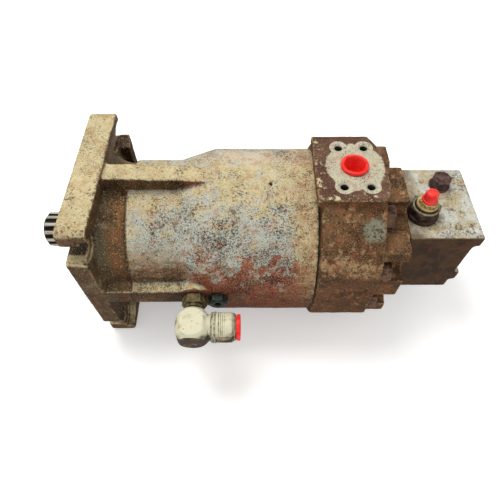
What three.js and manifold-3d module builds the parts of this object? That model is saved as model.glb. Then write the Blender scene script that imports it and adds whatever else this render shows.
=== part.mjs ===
// Heavy-duty in-line (swashplate) axial piston hydraulic unit with a fixed swashplate.
// Millimetres. +X runs along the shaft towards the valve block, +Z out of the top port pad,
// and the origin is where the shaft axis crosses the mounting face of the flange.
import * as THREE from 'three';
import { mergeVertices } from 'three/addons/utils/BufferGeometryUtils.js';
import Module from 'manifold-3d';

const wasm = await Module();
wasm.setup();

// ---------------------------------------------------------------- driving dimensions
const GAP = 0.3;                       // clearance between touching pieces

const FINE = 48;                       // sides of a turned surface, by its size
const ROUND = 32;
const MEDIUM = 24;
const SMALL = 16;
const TINY = 8;
const INNER = 10;                      // small turned pieces of the rotating group

const FLANGE_HALF_HEIGHT = 111.4;      // flange, SAE D four-bolt pattern
const FLANGE_SLAB_HALF_WIDTH = 90.4;
const FLANGE_CHEEK_HALF_WIDTH = 98.3;
const FLANGE_CHEEK_HALF_HEIGHT = 70.5;
const FLANGE_THICKNESS = 23;
const FLANGE_LIP_THICKNESS = 31;
const FLANGE_FAR_CHEEK_THICKNESS = 36;
const FLANGE_BOLT_OFFSET = 80.8;
const FLANGE_SLOT_WIDTH = 20.6;
const SPOTFACE_RADIUS = 20;
const SPOTFACE_X = 20.5;
const PILOT_RADIUS = 76.2;
const PILOT_LENGTH = 12.7;

const NECK_RADIUS = 87;                // housing barrel
const BARREL_RADIUS = 100.4;
const BARREL_START_X = 146;
const HOUSING_END_X = 261.7;
const CAVITY_RADIUS = 72;
const RIB_HALF_WIDTH = 11.5;
const SIDE_RIB_PLANE = 98;

const BEARING_BORE_RADIUS = 45.3;      // front bearing and seal seats
const BEARING_START_X = 6;
const BEARING_END_X = 31.3;
const SEAL_BORE_RADIUS = 38.3;
const RING_GROOVE_RADIUS = 48.3;
const RING_GROOVE_WIDTH = 2.3;
const SHOULDER_X = 46;

const SHAFT_FRONT_X = -67;             // drive shaft
const SPLINE_TEETH = 13;
const HUB_TEETH = 8;
const SPLINE_TIP_RADIUS = 22.2;
const SPLINE_ROOT_RADIUS = 18.8;
const SHAFT_RADIUS = 20;
const BEARING_SEAT_RADIUS = 25;
const SHAFT_TAIL_RADIUS = 16;
const SHAFT_END_X = 279.5;

const SWASH_ANGLE = THREE.MathUtils.degToRad(15);   // rotating group
const BALL_PLANE_X = 105;
const PISTON_COUNT = 9;
const BORE_CIRCLE_RADIUS = 46;
const BALL_CIRCLE_RADIUS = 2 * BORE_CIRCLE_RADIUS / (1 + Math.cos(SWASH_ANGLE));
const PISTON_RADIUS = 11;
const PISTON_LENGTH = 114;
const CYLINDER_RADIUS = 12.25;
const BALL_RADIUS = 7.5;
const SOCKET_RADIUS = 8.6;
const SLIPPER_DEPTH = 14;
const SLIPPER_FLANGE = 4;
const RETAINER_THICKNESS = 4;
const GUIDE_SPHERE_RADIUS = 30;
const BLOCK_START_X = 135;
const BLOCK_END_X = 250;
const BLOCK_RADIUS = 65;
const SPRING_SEAT_X = 215;
const VALVE_PLATE_END_X = 257;

const CAP_FACE_X = 263;                // end cap
const CAP_BODY_END_X = 331;
const CAP_EAR_END_X = 364;
const CAP_END_X = 368;
const SPIGOT_X = 257.3;
const SPIGOT_RADIUS = 71.7;
const PAD_HEIGHT = 112;
const PAD_HALF_WIDTH = 48;
const PAD_START_X = 258;
const PAD_END_X = 335;
const PORT_X = 300.3;
const PORT_RADIUS = 12.7;
const PORT_BOLT_SPACING_X = 27.76;     // four-bolt split-flange pattern
const PORT_BOLT_SPACING_Y = 57.15;
const PORT_TAP_RADIUS = 5.2;
const CAP_BOLTS = [[41, 76.8], [80.5, 33]];
const CAP_BOLT_POCKET_RADIUS = 16.5;
const CAP_BOLT_RADIUS = 7.9;
const REAR_BEARING_RADIUS = 26;
const REAR_BEARING_END_X = 281;

const VALVE_BLOCK_X = 368.3;           // valve block on the back of the end cap
const VALVE_BLOCK_END_X = 445;
const VALVE_BLOCK_LEDGE_X = 452;
const VALVE_BLOCK_HALF_WIDTH = 53;
const VALVE_BLOCK_HALF_HEIGHT = 53.7;
const RELIEF_XY = [387, -19];
const RELIEF_BORE_RADIUS = 14;
const SHUTTLE_XY = [417.5, 26];
const SHUTTLE_BORE_RADIUS = 9;
const BLOCK_SCREW_YZ = [42, 38];
const GALLERY_YZ = [14, 24];

const DRAIN_X = 125.6;                 // case drain fitting
const BOSS_FACE_Y = -98.5;
const ELBOW_Y = -135.3;
const ELBOW_HALF = 18.3;
const CASE_PLUG_X = 152;

// ---------------------------------------------------------------- materials
function metal(color, roughness, metalness) {
  return new THREE.MeshStandardMaterial({ color, roughness, metalness });
}
const castPaint = metal(0xb9aa94, 0.85, 0.1);
const capPaint = metal(0x8a7263, 0.85, 0.1);
const blockPaint = metal(0xc2bda9, 0.8, 0.1);
const steel = metal(0xa9abad, 0.35, 0.9);
const darkSteel = metal(0x4a3b36, 0.7, 0.6);
const zinc = metal(0xc9c4ae, 0.45, 0.7);
const bronze = metal(0xb08d57, 0.4, 0.8);
const rubber = metal(0x1c1c1c, 0.9, 0);
const redPlastic = metal(0xe8352c, 0.35, 0);
const gasketPaper = metal(0x3d4640, 0.9, 0);

// ---------------------------------------------------------------- solid helpers
const X_AXIS = new THREE.Vector3(1, 0, 0);
const Y_AXIS = new THREE.Vector3(0, 1, 0);
const Z_AXIS = new THREE.Vector3(0, 0, 1);

// Axes of a piece whose long axis is `axis`: columns are its two cross axes, then the long axis.
function frameAlong(axis) {
  const side = Math.abs(axis.z) > 0.9 ? X_AXIS : Z_AXIS;
  const v = new THREE.Vector3().crossVectors(axis, side).normalize();
  const u = new THREE.Vector3().crossVectors(v, axis).normalize();
  return new THREE.Matrix4().makeBasis(u, v, axis);
}

function signedVolume(points, faces) {
  const [a, b, c] = [new THREE.Vector3(), new THREE.Vector3(), new THREE.Vector3()];
  let volume = 0;
  for (let i = 0; i < faces.length; i += 3) {
    a.fromArray(points, 3 * faces[i]);
    b.fromArray(points, 3 * faces[i + 1]);
    c.fromArray(points, 3 * faces[i + 2]);
    volume += a.dot(b.cross(c));
  }
  return volume;
}

// A closed three.js geometry as a manifold solid, with collapsed triangles left out.
function solid(geometry, matrix) {
  let bare = geometry.clone();
  bare.deleteAttribute('normal');
  bare.deleteAttribute('uv');
  if (matrix) bare.applyMatrix4(matrix);
  bare = mergeVertices(bare, 1e-4);
  const points = bare.attributes.position.array;
  const index = bare.index.array;
  const faces = [];
  for (let i = 0; i < index.length; i += 3) {
    const [a, b, c] = [index[i], index[i + 1], index[i + 2]];
    if (a !== b && b !== c && c !== a) faces.push(a, b, c);
  }
  if (signedVolume(points, faces) < 0) {
    for (let i = 0; i < faces.length; i += 3) {
      [faces[i], faces[i + 1]] = [faces[i + 1], faces[i]];
    }
  }
  const mesh = { numProp: 3, vertProperties: new Float32Array(points), triVerts: new Uint32Array(faces) };
  return new wasm.Manifold(new wasm.Mesh(mesh));
}

function toGeometry(body) {
  const mesh = body.getMesh();
  const geometry = new THREE.BufferGeometry();
  geometry.setAttribute('position', new THREE.BufferAttribute(new Float32Array(mesh.vertProperties), 3));
  geometry.setIndex(new THREE.BufferAttribute(new Uint32Array(mesh.triVerts), 1));
  geometry.computeVertexNormals();
  return geometry;
}

function join(...bodies) {
  return bodies.reduce((all, next) => all.add(next));
}

function cut(body, ...tools) {
  return tools.reduce((rest, tool) => rest.subtract(tool), body);
}

function box(x0, x1, y0, y1, z0, z1) {
  const geometry = new THREE.BoxGeometry(x1 - x0, y1 - y0, z1 - z0);
  geometry.translate((x0 + x1) / 2, (y0 + y1) / 2, (z0 + z1) / 2);
  return solid(geometry);
}

// A turned piece from [distance along the axis, radius] points, about `axis` through `centre`.
function turned(profile, segments, axis = X_AXIS, centre = [0, 0, 0]) {
  const points = profile.map(([along, radius]) => new THREE.Vector2(radius, along));
  const lathe = new THREE.LatheGeometry(points, segments);
  lathe.rotateX(Math.PI / 2);
  return solid(lathe, frameAlong(axis).setPosition(...centre));
}

function rod(radius, from, to, segments, axis = X_AXIS, centre = [0, 0, 0]) {
  return turned([[from, 0], [from, radius], [to, radius], [to, 0]], segments, axis, centre);
}

function tube(inner, outer, from, to, segments, axis = X_AXIS, centre = [0, 0, 0]) {
  const profile = [[from, inner], [from, outer], [to, outer], [to, inner], [from, inner]];
  return turned(profile, segments, axis, centre);
}

// A prism from a shape drawn across `axis`, between two distances along it.
function prism(shape, from, to, matrix) {
  const options = { depth: to - from, bevelEnabled: false, curveSegments: 4 };
  const geometry = new THREE.ExtrudeGeometry(shape, options);
  geometry.translate(0, 0, from);
  return solid(geometry, matrix);
}

const ACROSS_X = new THREE.Matrix4().makeBasis(Y_AXIS, Z_AXIS, X_AXIS);   // shape in (Y, Z)
const ACROSS_Y = new THREE.Matrix4().makeBasis(Z_AXIS, X_AXIS, Y_AXIS);   // shape in (Z, X)
const ACROSS_Z = new THREE.Matrix4();                                     // shape in (X, Y)

function polygon(points) {
  return new THREE.Shape(points.map(([u, v]) => new THREE.Vector2(u, v)));
}

function roundedRectangle(halfU, halfV, corner) {
  const shape = new THREE.Shape();
  shape.absarc(halfU - corner, halfV - corner, corner, 0, Math.PI / 2);
  shape.absarc(corner - halfU, halfV - corner, corner, Math.PI / 2, Math.PI);
  shape.absarc(corner - halfU, corner - halfV, corner, Math.PI, 1.5 * Math.PI);
  shape.absarc(halfU - corner, corner - halfV, corner, 1.5 * Math.PI, 2 * Math.PI);
  return shape;
}

// A hexagon bar with its corners turned down at the free end.
function hexHead(acrossFlats, from, to, axis, centre) {
  const corner = acrossFlats / Math.sqrt(3);
  const flat = acrossFlats / 2;
  const bar = rod(corner, from, to, 6, axis, centre);
  const profile = [[from, 0], [from, corner + 1], [to - 2, corner + 1], [to, flat], [to, 0]];
  const dome = turned(profile, SMALL, axis, centre);
  return bar.intersect(dome);
}

// A helix along +Z.
class Helix extends THREE.Curve {
  constructor(radius, length, turns) {
    super();
    Object.assign(this, { radius, length, turns });
  }

  getPoint(t, target = new THREE.Vector3()) {
    const angle = 2 * Math.PI * this.turns * t;
    return target.set(this.radius * Math.cos(angle), this.radius * Math.sin(angle), this.length * t);
  }
}

function coil(radius, wireRadius, length, turns, axis, centre) {
  const wire = new THREE.Shape();
  wire.absarc(0, 0, wireRadius, 0, 2 * Math.PI);
  const path = new Helix(radius, length, turns);
  const steps = Math.round(8 * turns);
  const options = { steps, curveSegments: 3, extrudePath: path, bevelEnabled: false };
  return solid(new THREE.ExtrudeGeometry(wire, options), frameAlong(axis).setPosition(...centre));
}

function splineShape(teeth, root, tip) {
  const points = [];
  const pitch = 2 * Math.PI / teeth;
  for (let i = 0; i < teeth; i += 1) {
    for (const [share, radius] of [[-0.34, root], [-0.17, tip], [0.17, tip], [0.34, root]]) {
      const angle = pitch * (i + share);
      points.push([radius * Math.cos(angle), radius * Math.sin(angle)]);
    }
  }
  return polygon(points);
}

function kidneyShape(radius, halfWidth, centreAngle, halfSpan) {
  const [start, end] = [centreAngle - halfSpan, centreAngle + halfSpan];
  const shape = new THREE.Shape();
  shape.absarc(0, 0, radius + halfWidth, start, end, false);
  shape.absarc(0, 0, radius - halfWidth, end, start, true);
  return shape;
}

const unit = new THREE.Group();

function addPart(name, body, material, position = [0, 0, 0]) {
  const mesh = new THREE.Mesh(toGeometry(body), material);
  mesh.name = name;
  mesh.position.set(...position);
  unit.add(mesh);
  return mesh;
}

const SIGNS = [[-1, 1], [1, 1], [-1, -1], [1, -1]];   // [Y side, Z side] of the four quarters

// ---------------------------------------------------------------- housing with mounting flange
function flangeSlabs() {
  const slab = roundedRectangle(FLANGE_SLAB_HALF_WIDTH, FLANGE_HALF_HEIGHT, 6);
  const cheek = roundedRectangle(FLANGE_CHEEK_HALF_WIDTH, FLANGE_CHEEK_HALF_HEIGHT, 4);
  const lipInner = FLANGE_BOLT_OFFSET + FLANGE_SLOT_WIDTH / 2 + 1;
  const lips = prism(slab, 0, FLANGE_LIP_THICKNESS, ACROSS_X);
  const gap = box(FLANGE_THICKNESS, 40, -120, 120, -lipInner, lipInner);
  const farCheek = box(
    FLANGE_THICKNESS - 2, FLANGE_FAR_CHEEK_THICKNESS, 84, FLANGE_CHEEK_HALF_WIDTH,
    -FLANGE_CHEEK_HALF_HEIGHT, FLANGE_CHEEK_HALF_HEIGHT,
  );
  return join(cut(lips, gap), prism(cheek, 0, FLANGE_THICKNESS - 1, ACROSS_X), farCheek);
}

function flangeSlot(ySide, zSide) {
  const centre = [0, ySide * FLANGE_BOLT_OFFSET, zSide * FLANGE_BOLT_OFFSET];
  const half = FLANGE_SLOT_WIDTH / 2;
  const [near, far] = [FLANGE_BOLT_OFFSET, 120].map((y) => ySide * y).sort((a, b) => a - b);
  return join(
    rod(half, -1, 40, SMALL, X_AXIS, centre),
    box(-1, 40, near, far, centre[2] - half, centre[2] + half),
    rod(SPOTFACE_RADIUS, SPOTFACE_X, 45, SMALL, X_AXIS, centre),
  );
}

// The top and bottom ribs run from the flange lip down onto the barrel.
function verticalRib(zSide) {
  const outline = polygon([[80, 22], [105.5, 22], [104.5, 60], [101.2, 150], [80, 150]]
    .map(([z, x]) => [zSide * z, x]));
  return prism(outline, -RIB_HALF_WIDTH, RIB_HALF_WIDTH, ACROSS_Y);
}

function sideRib(ySide) {
  const [inner, outer] = [70, SIDE_RIB_PLANE].map((y) => ySide * y).sort((a, b) => a - b);
  return box(18, 128, inner, outer, -13, RIB_HALF_WIDTH);
}

function housing() {
  const outside = turned([
    [-PILOT_LENGTH, 0], [-PILOT_LENGTH, PILOT_RADIUS - 1.5], [1.5 - PILOT_LENGTH, PILOT_RADIUS],
    [18, PILOT_RADIUS], [18, 96], [23, 96], [26, 90.5], [31, 86.5], [40, 83.6], [51, 83],
    [52.5, 86.2], [54, NECK_RADIUS], [106, NECK_RADIUS], [BARREL_START_X, BARREL_RADIUS],
    [HOUSING_END_X, BARREL_RADIUS], [HOUSING_END_X, 0],
  ], FINE);
  const inside = turned([
    [-14, 0], [-14, SEAL_BORE_RADIUS], [BEARING_START_X, SEAL_BORE_RADIUS],
    [BEARING_START_X, BEARING_BORE_RADIUS], [BEARING_END_X, BEARING_BORE_RADIUS],
    [BEARING_END_X, RING_GROOVE_RADIUS], [BEARING_END_X + RING_GROOVE_WIDTH, RING_GROOVE_RADIUS],
    [BEARING_END_X + RING_GROOVE_WIDTH, BEARING_BORE_RADIUS], [SHOULDER_X, BEARING_BORE_RADIUS],
    [SHOULDER_X, CAVITY_RADIUS], [112, CAVITY_RADIUS], [150, 84], [220, 84], [228, CAVITY_RADIUS],
    [265, CAVITY_RADIUS], [265, 0],
  ], MEDIUM);
  const drainBoss = rod(21, 80, -BOSS_FACE_Y, MEDIUM, Y_AXIS.clone().negate(), [DRAIN_X, 0, 0]);
  const boltHoles = [];
  for (const [ySide, zSide] of SIGNS) {
    for (const [y, z] of CAP_BOLTS) {
      boltHoles.push(rod(CAP_BOLT_RADIUS + GAP, 236, 265, TINY, X_AXIS, [0, ySide * y, zSide * z]));
    }
  }
  const ribs = [verticalRib(1), verticalRib(-1), sideRib(1), sideRib(-1)];
  const body = join(outside, flangeSlabs(), drainBoss, ...ribs);
  const towardsDrain = Y_AXIS.clone().negate();
  return cut(
    body, inside, ...SIGNS.map(([y, z]) => flangeSlot(y, z)), ...boltHoles,
    rod(10.3, 60, 105, SMALL, towardsDrain, [DRAIN_X, 0, 0]),
    rod(13.5, -BOSS_FACE_Y, 110, SMALL, towardsDrain, [CASE_PLUG_X, 0, 0]),
    rod(8.3, 60, 110, SMALL, towardsDrain, [CASE_PLUG_X, 0, 0]),
    rod(2.2, 92, 105, TINY, new THREE.Vector3(0, -0.13, 0.9915), [211.4, 0, 0]),
  );
}

// ---------------------------------------------------------------- end cap with the two ports
function capOutline() {
  const quarter = [[PAD_HALF_WIDTH, 101], [58, 93.5], [69, 83], [79, 71.5], [88.5, 58], [97.5, 42]];
  const right = [...quarter, ...quarter.slice().reverse().map(([y, z]) => [y, -z])];
  return polygon([...right, ...right.slice().reverse().map(([y, z]) => [-y, z])]);
}

// Port pad seen from above; its far rear corner is rounded off and the near one is chamfered.
function padOutline() {
  return polygon([
    [PAD_START_X, -PAD_HALF_WIDTH], [327.5, -PAD_HALF_WIDTH], [332.5, -38], [PAD_END_X, -24],
    [PAD_END_X, 2], [333, 20], [328, 36], [320.5, PAD_HALF_WIDTH], [PAD_START_X, PAD_HALF_WIDTH],
  ]);
}

function capEars() {
  const top = box(CAP_BODY_END_X - 1, CAP_EAR_END_X, -27.5, 27.5, -85, 85);
  const side = box(CAP_BODY_END_X - 1, CAP_EAR_END_X, -86, 86, -17, 17);
  const corners = SIGNS.map(([ySide, zSide]) => {
    const [y0, y1] = [48, 82].map((y) => ySide * y).sort((a, b) => a - b);
    const [z0, z1] = [40, 66].map((z) => zSide * z).sort((a, b) => a - b);
    return box(CAP_BODY_END_X - 1, CAP_EAR_END_X - 3, y0, y1, z0, z1);
  });
  const ears = join(top, side, ...corners);
  const pockets = [];
  for (const [ySide, zSide] of SIGNS) {
    for (const [y, z] of CAP_BOLTS) {
      const centre = [0, ySide * y, zSide * z];
      pockets.push(rod(CAP_BOLT_POCKET_RADIUS, CAP_BODY_END_X, 380, SMALL, X_AXIS, centre));
    }
  }
  return cut(ears, ...pockets);
}

function portCuts(zSide) {
  const up = Z_AXIS.clone().multiplyScalar(zSide);
  const cuts = [
    rod(PORT_RADIUS, 20, PAD_HEIGHT + 1, SMALL, up, [PORT_X, 0, 0]),
    rod(10, SPIGOT_X - 1, PORT_X, INNER, X_AXIS, [0, 0, zSide * BORE_CIRCLE_RADIUS]),
    prism(kidneyShape(BORE_CIRCLE_RADIUS, 5.5, zSide * Math.PI / 2, 1.1), SPIGOT_X - 1, 264, ACROSS_X),
    rod(5, PORT_X, CAP_END_X + 1, TINY, X_AXIS, [0, GALLERY_YZ[0], zSide * GALLERY_YZ[1]]),
  ];
  for (const [xSide, ySide] of SIGNS) {
    const hole = [PORT_X + xSide * PORT_BOLT_SPACING_X / 2, ySide * PORT_BOLT_SPACING_Y / 2, 0];
    cuts.push(turned([[86, 0], [86, PORT_TAP_RADIUS], [PAD_HEIGHT - 1, PORT_TAP_RADIUS],
      [PAD_HEIGHT + 0.2, PORT_TAP_RADIUS + 1.2], [PAD_HEIGHT + 0.2, 0]], TINY, up, hole));
  }
  return cuts;
}

function endCap() {
  const pads = prism(padOutline(), -PAD_HEIGHT, PAD_HEIGHT, ACROSS_Z);
  const overhang = box(PAD_START_X - 1, CAP_FACE_X, -60, 60, -101.2, 101.2);
  const core = prism(roundedRectangle(55, 55, 8), CAP_BODY_END_X - 1, CAP_END_X, ACROSS_X);
  const body = join(
    prism(capOutline(), CAP_FACE_X, CAP_BODY_END_X, ACROSS_X),
    cut(pads, overhang, box(CAP_BODY_END_X, 340, -60, 60, -95, 95)),
    rod(SPIGOT_RADIUS, SPIGOT_X, CAP_FACE_X + 1, MEDIUM),
    rod(66, CAP_BODY_END_X - 1, CAP_END_X, MEDIUM), core, capEars(),
  );
  const holes = [];
  for (const [ySide, zSide] of SIGNS) {
    for (const [y, z] of CAP_BOLTS) {
      holes.push(rod(CAP_BOLT_RADIUS + GAP, 262, 340, TINY, X_AXIS, [0, ySide * y, zSide * z]));
    }
    const screw = [0, ySide * BLOCK_SCREW_YZ[0], zSide * BLOCK_SCREW_YZ[1]];
    holes.push(rod(5.3, 344, 370, TINY, X_AXIS, screw));
  }
  const bearingBore = rod(REAR_BEARING_RADIUS, SPIGOT_X - 1, REAR_BEARING_END_X, MEDIUM);
  return cut(body, bearingBore, ...portCuts(1), ...portCuts(-1), ...holes);
}

// ---------------------------------------------------------------- valve block and its fittings
function valveBlock() {
  const [end, ledge, top] = [VALVE_BLOCK_END_X, VALVE_BLOCK_LEDGE_X, VALVE_BLOCK_HALF_HEIGHT];
  const side = polygon([
    [-top, VALVE_BLOCK_X], [-top, end], [-38, end], [-36, ledge], [-20, ledge], [-18, end], [36, end],
    [37, ledge], [top - 2, ledge], [top, ledge - 2], [top, VALVE_BLOCK_X],
  ]);
  const [reliefX, reliefY] = RELIEF_XY;
  const [shuttleX, shuttleY] = SHUTTLE_XY;
  const screwCuts = SIGNS.map(([ySide, zSide]) => {
    const centre = [0, ySide * BLOCK_SCREW_YZ[0], zSide * BLOCK_SCREW_YZ[1]];
    const head = rod(8.6, VALVE_BLOCK_END_X - 11, 460, SMALL, X_AXIS, centre);
    return join(rod(5.5, 360, 460, TINY, X_AXIS, centre), head);
  });
  const galleries = [-1, 1].map((zSide) => {
    const centre = [0, GALLERY_YZ[0], zSide * GALLERY_YZ[1]];
    return rod(4, 366, shuttleX + 3, TINY, X_AXIS, centre);
  });
  return cut(
    prism(side, -VALVE_BLOCK_HALF_WIDTH, VALVE_BLOCK_HALF_WIDTH, ACROSS_Y),
    rod(RELIEF_BORE_RADIUS, 28, 60, SMALL, Z_AXIS, [reliefX, reliefY, 0]),
    rod(5, 18, 30, TINY, Z_AXIS, [reliefX, reliefY, 0]),
    rod(3, reliefY, GALLERY_YZ[0] - 1.3, TINY, Y_AXIS, [reliefX, 0, 22.4]),
    rod(SHUTTLE_BORE_RADIUS, -44, 60, SMALL, Z_AXIS, [shuttleX, shuttleY, 0]),
    ...screwCuts, ...galleries,
  );
}

function addValvePieces() {
  const [reliefX, reliefY] = RELIEF_XY;
  const [shuttleX, shuttleY] = SHUTTLE_XY;
  const top = VALVE_BLOCK_HALF_HEIGHT + GAP;
  const relief = [reliefX, reliefY, 0];
  const collar = [[top, 0], [top, 17.8], [top + 5, 17.8], [top + 6, 17], [top + 6, 0]];
  const crown = [[top + 15, 0], [top + 15, 13], [top + 18, 13], [top + 19, 12], [top + 19, 0]];
  const cartridge = cut(
    join(
      rod(RELIEF_BORE_RADIUS - GAP, 40, top + 1, SMALL, Z_AXIS, relief),
      turned(collar, MEDIUM, Z_AXIS, relief),
      hexHead(31, top + 5, top + 16, Z_AXIS, relief),
      turned(crown, SMALL, Z_AXIS, relief),
    ),
    rod(9, 39, 52, INNER, Z_AXIS, relief),
    rod(4, 50, 90, TINY, Z_AXIS, relief),
  );
  addPart('relief_cartridge', cartridge, darkSteel);

  const seat = top + 19 + GAP;
  const fitting = cut(
    join(
      turned([[seat, 0], [seat, 9.5], [seat + 2, 9.5], [seat + 2, 0]], SMALL, Z_AXIS, relief),
      hexHead(17, seat + 1, seat + 6, Z_AXIS, relief),
      rod(5.6, seat + 5, seat + 16, INNER, Z_AXIS, relief),
      rod(3.6, seat - 12, seat + 1, TINY, Z_AXIS, relief),
    ),
    rod(2, seat - 13, seat + 20, 6, Z_AXIS, relief),
  );
  addPart('gauge_fitting', fitting, zinc);

  const capBase = seat + 6.5;
  const gaugeCap = turned([
    [capBase, 6.1], [capBase, 8.6], [capBase + 2, 8.6], [capBase + 3, 8], [capBase + 9.5, 7.5],
    [capBase + 12, 6.4], [capBase + 13.2, 4], [capBase + 13.6, 0], [capBase + 10.4, 0],
    [capBase + 10.4, 6], [capBase, 6.1],
  ], SMALL, Z_AXIS, relief);
  addPart('gauge_cap', gaugeCap, redPlastic);

  const poppet = turned([
    [22.6, 0], [22.6, 2], [28.4, 4.4], [28.4, 8.4], [34, 8.4], [34, 4], [38, 4], [38, 0],
  ], INNER, Z_AXIS, relief);
  addPart('relief_poppet', poppet, steel);
  addPart('relief_spring', coil(6.2, 0.9, 14.6, 3, Z_AXIS, [reliefX, reliefY, 35.4]), steel);

  const shuttle = [shuttleX, shuttleY, 0];
  const plug = join(
    rod(SHUTTLE_BORE_RADIUS - GAP, 38, top + 1, SMALL, Z_AXIS, shuttle),
    turned([[top, 0], [top, 12.4], [top + 1.6, 12.4], [top + 1.6, 0]], SMALL, Z_AXIS, shuttle),
    hexHead(20.6, top + 1, top + 13, Z_AXIS, shuttle),
  );
  addPart('shuttle_plug', plug, darkSteel);

  const land = SHUTTLE_BORE_RADIUS - GAP;
  const spool = turned([
    [-38, 0], [-38, 3.5], [-34, 3.5], [-34, land], [-18, land], [-18, 4.5], [-6, 4.5], [-6, land],
    [6, land], [6, 4.5], [18, 4.5], [18, land], [28, land], [28, 3.5], [32, 3.5], [32, 0],
  ], INNER, Z_AXIS, shuttle);
  addPart('shuttle_spool', spool, steel);

  for (const [index, [ySide, zSide]] of SIGNS.entries()) {
    const centre = [0, ySide * BLOCK_SCREW_YZ[0], zSide * BLOCK_SCREW_YZ[1]];
    const screw = cut(
      join(rod(4.9, 346, 436, TINY, X_AXIS, centre), rod(8, 434.4, 444.4, SMALL, X_AXIS, centre)),
      rod(4.6, 439, 446, 6, X_AXIS, centre),
    );
    addPart(`valve_block_screw_${index + 1}`, screw, darkSteel);
  }
}

// ---------------------------------------------------------------- case drain and plugs
function addDrainPieces() {
  const out = Y_AXIS.clone().negate();
  const drain = [DRAIN_X, 0, 0];
  const seat = GAP - BOSS_FACE_Y;
  const adapter = cut(
    join(
      rod(10, 84, seat + 1, SMALL, out, drain),
      hexHead(25.4, seat, seat + 11.5, out, drain),
      rod(11, seat + 11, seat + 14.5, SMALL, out, drain),
      rod(9, seat + 14, 128, SMALL, out, drain),
    ),
    rod(6.5, 83, 130, TINY, out, drain),
  );
  addPart('drain_adapter', adapter, darkSteel);

  const front = ELBOW_Y + ELBOW_HALF;
  const back = ELBOW_Y - ELBOW_HALF;
  const [left, right] = [DRAIN_X - ELBOW_HALF, DRAIN_X + ELBOW_HALF];
  const plan = polygon([
    [DRAIN_X - 9, front], [left + 3.5, front - 8], [left + 0.8, front - 14], [left, front - 21],
    [left + 0.6, back + 9], [left + 2.5, back + 3], [left + 6, back], [right - 5, back],
    [right, back + 6], [right, front - 12], [right - 3, front - 6], [DRAIN_X + 11, front],
  ]);
  const forging = prism(plan, -17.6, 17.6, ACROSS_Z);
  const drum = rod(21.8, back - 1, front + 1, MEDIUM, Y_AXIS, drain);
  const leg = turned([
    [125, 0], [125, 14.8], [right + 2.5, 14.8], [right + 2.5, 17.2], [right + 7.5, 17.2],
    [right + 7.5, 15.2], [right + 9, 15.2], [right + 9, 16.6], [168.5, 16.6], [173.6, 13.4], [173.6, 0],
  ], MEDIUM, X_AXIS, [0, ELBOW_Y, 0]);
  const elbow = cut(
    join(forging.intersect(drum), leg),
    rod(10.5, DRAIN_X, 175, SMALL, X_AXIS, [0, ELBOW_Y, 0]),
    rod(10.5, 100, 2 - ELBOW_Y, SMALL, out, drain),
  );
  addPart('drain_elbow', elbow, zinc);

  const lip = 173.6 + GAP;
  const elbowPlug = turned([
    [160, 0], [160, 9.6], [lip, 10.1], [lip, 14.4], [lip + 4.6, 14.6], [lip + 4.6, 9.4],
    [162, 8.4], [162, 0],
  ], MEDIUM, X_AXIS, [0, ELBOW_Y, 0]);
  addPart('elbow_plug', elbowPlug, redPlastic);

  const casePlug = join(
    rod(8, 88, seat + 1, SMALL, out, [CASE_PLUG_X, 0, 0]),
    rod(10.8, seat, seat + 1.6, SMALL, out, [CASE_PLUG_X, 0, 0]),
    hexHead(19, seat + 1, seat + 8.5, out, [CASE_PLUG_X, 0, 0]),
  );
  addPart('case_port_plug', casePlug, darkSteel);

  const pad = PAD_HEIGHT + GAP;
  const portPlug = turned([
    [94, 0], [94, 11.2], [pad, 12.1], [pad, 14.9], [pad + 2.8, 14.9], [pad + 3.4, 14.2],
    [pad + 3.4, 11.6], [pad, 11.1], [96.2, 10.2], [96.2, 0],
  ], MEDIUM, Z_AXIS, [PORT_X, 0, 0]);
  addPart('port_plug', portPlug, redPlastic);
}

// ---------------------------------------------------------------- shaft, bearings and seal
function driveShaft() {
  const front = splineShape(SPLINE_TEETH, SPLINE_ROOT_RADIUS, SPLINE_TIP_RADIUS);
  const chamfer = turned([
    [SHAFT_FRONT_X, 0], [SHAFT_FRONT_X, SPLINE_ROOT_RADIUS], [SHAFT_FRONT_X + 3, SPLINE_TIP_RADIUS + 0.4],
    [-16, SPLINE_TIP_RADIUS + 0.4], [-16, 0],
  ], MEDIUM);
  const rear = splineShape(HUB_TEETH, 18.4, 21);
  return join(
    prism(front, SHAFT_FRONT_X, -16, ACROSS_X).intersect(chamfer),
    turned([
      [-18, 0], [-18, 18.5], [-13, 18.5], [-11, 22.5], [3, 22.5], [3, BEARING_SEAT_RADIUS],
      [33, BEARING_SEAT_RADIUS], [36, SHAFT_RADIUS], [214, SHAFT_RADIUS], [214, 18.4], [256, 18.4],
      [258, SHAFT_TAIL_RADIUS], [SHAFT_END_X - 1.5, SHAFT_TAIL_RADIUS], [SHAFT_END_X, 14.5],
      [SHAFT_END_X, 0],
    ], MEDIUM),
    prism(rear, SPRING_SEAT_X + 1, BLOCK_END_X - 4, ACROSS_X),
  );
}

// Rollers and their cage as one lobed ring: each roller stands proud of the cage on both sides.
function rollerCage(centreRadius, rollerRadius, count, from, to) {
  const webbing = 0.9;
  const outline = [];
  const inline = [];
  const pitch = 2 * Math.PI / count;
  for (let i = 0; i < count; i += 1) {
    for (const share of [-0.24, -0.12, 0.12, 0.24]) {
      const rise = Math.abs(share) < 0.2 ? rollerRadius : webbing;
      const direction = new THREE.Vector2(Math.cos(pitch * (i + share)), Math.sin(pitch * (i + share)));
      outline.push(direction.clone().multiplyScalar(centreRadius + rise));
      inline.push(direction.clone().multiplyScalar(centreRadius - rise));
    }
  }
  const ring = new THREE.Shape(outline);
  ring.holes.push(new THREE.Path(inline.reverse()));
  return prism(ring, from, to, ACROSS_X);
}

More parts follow.
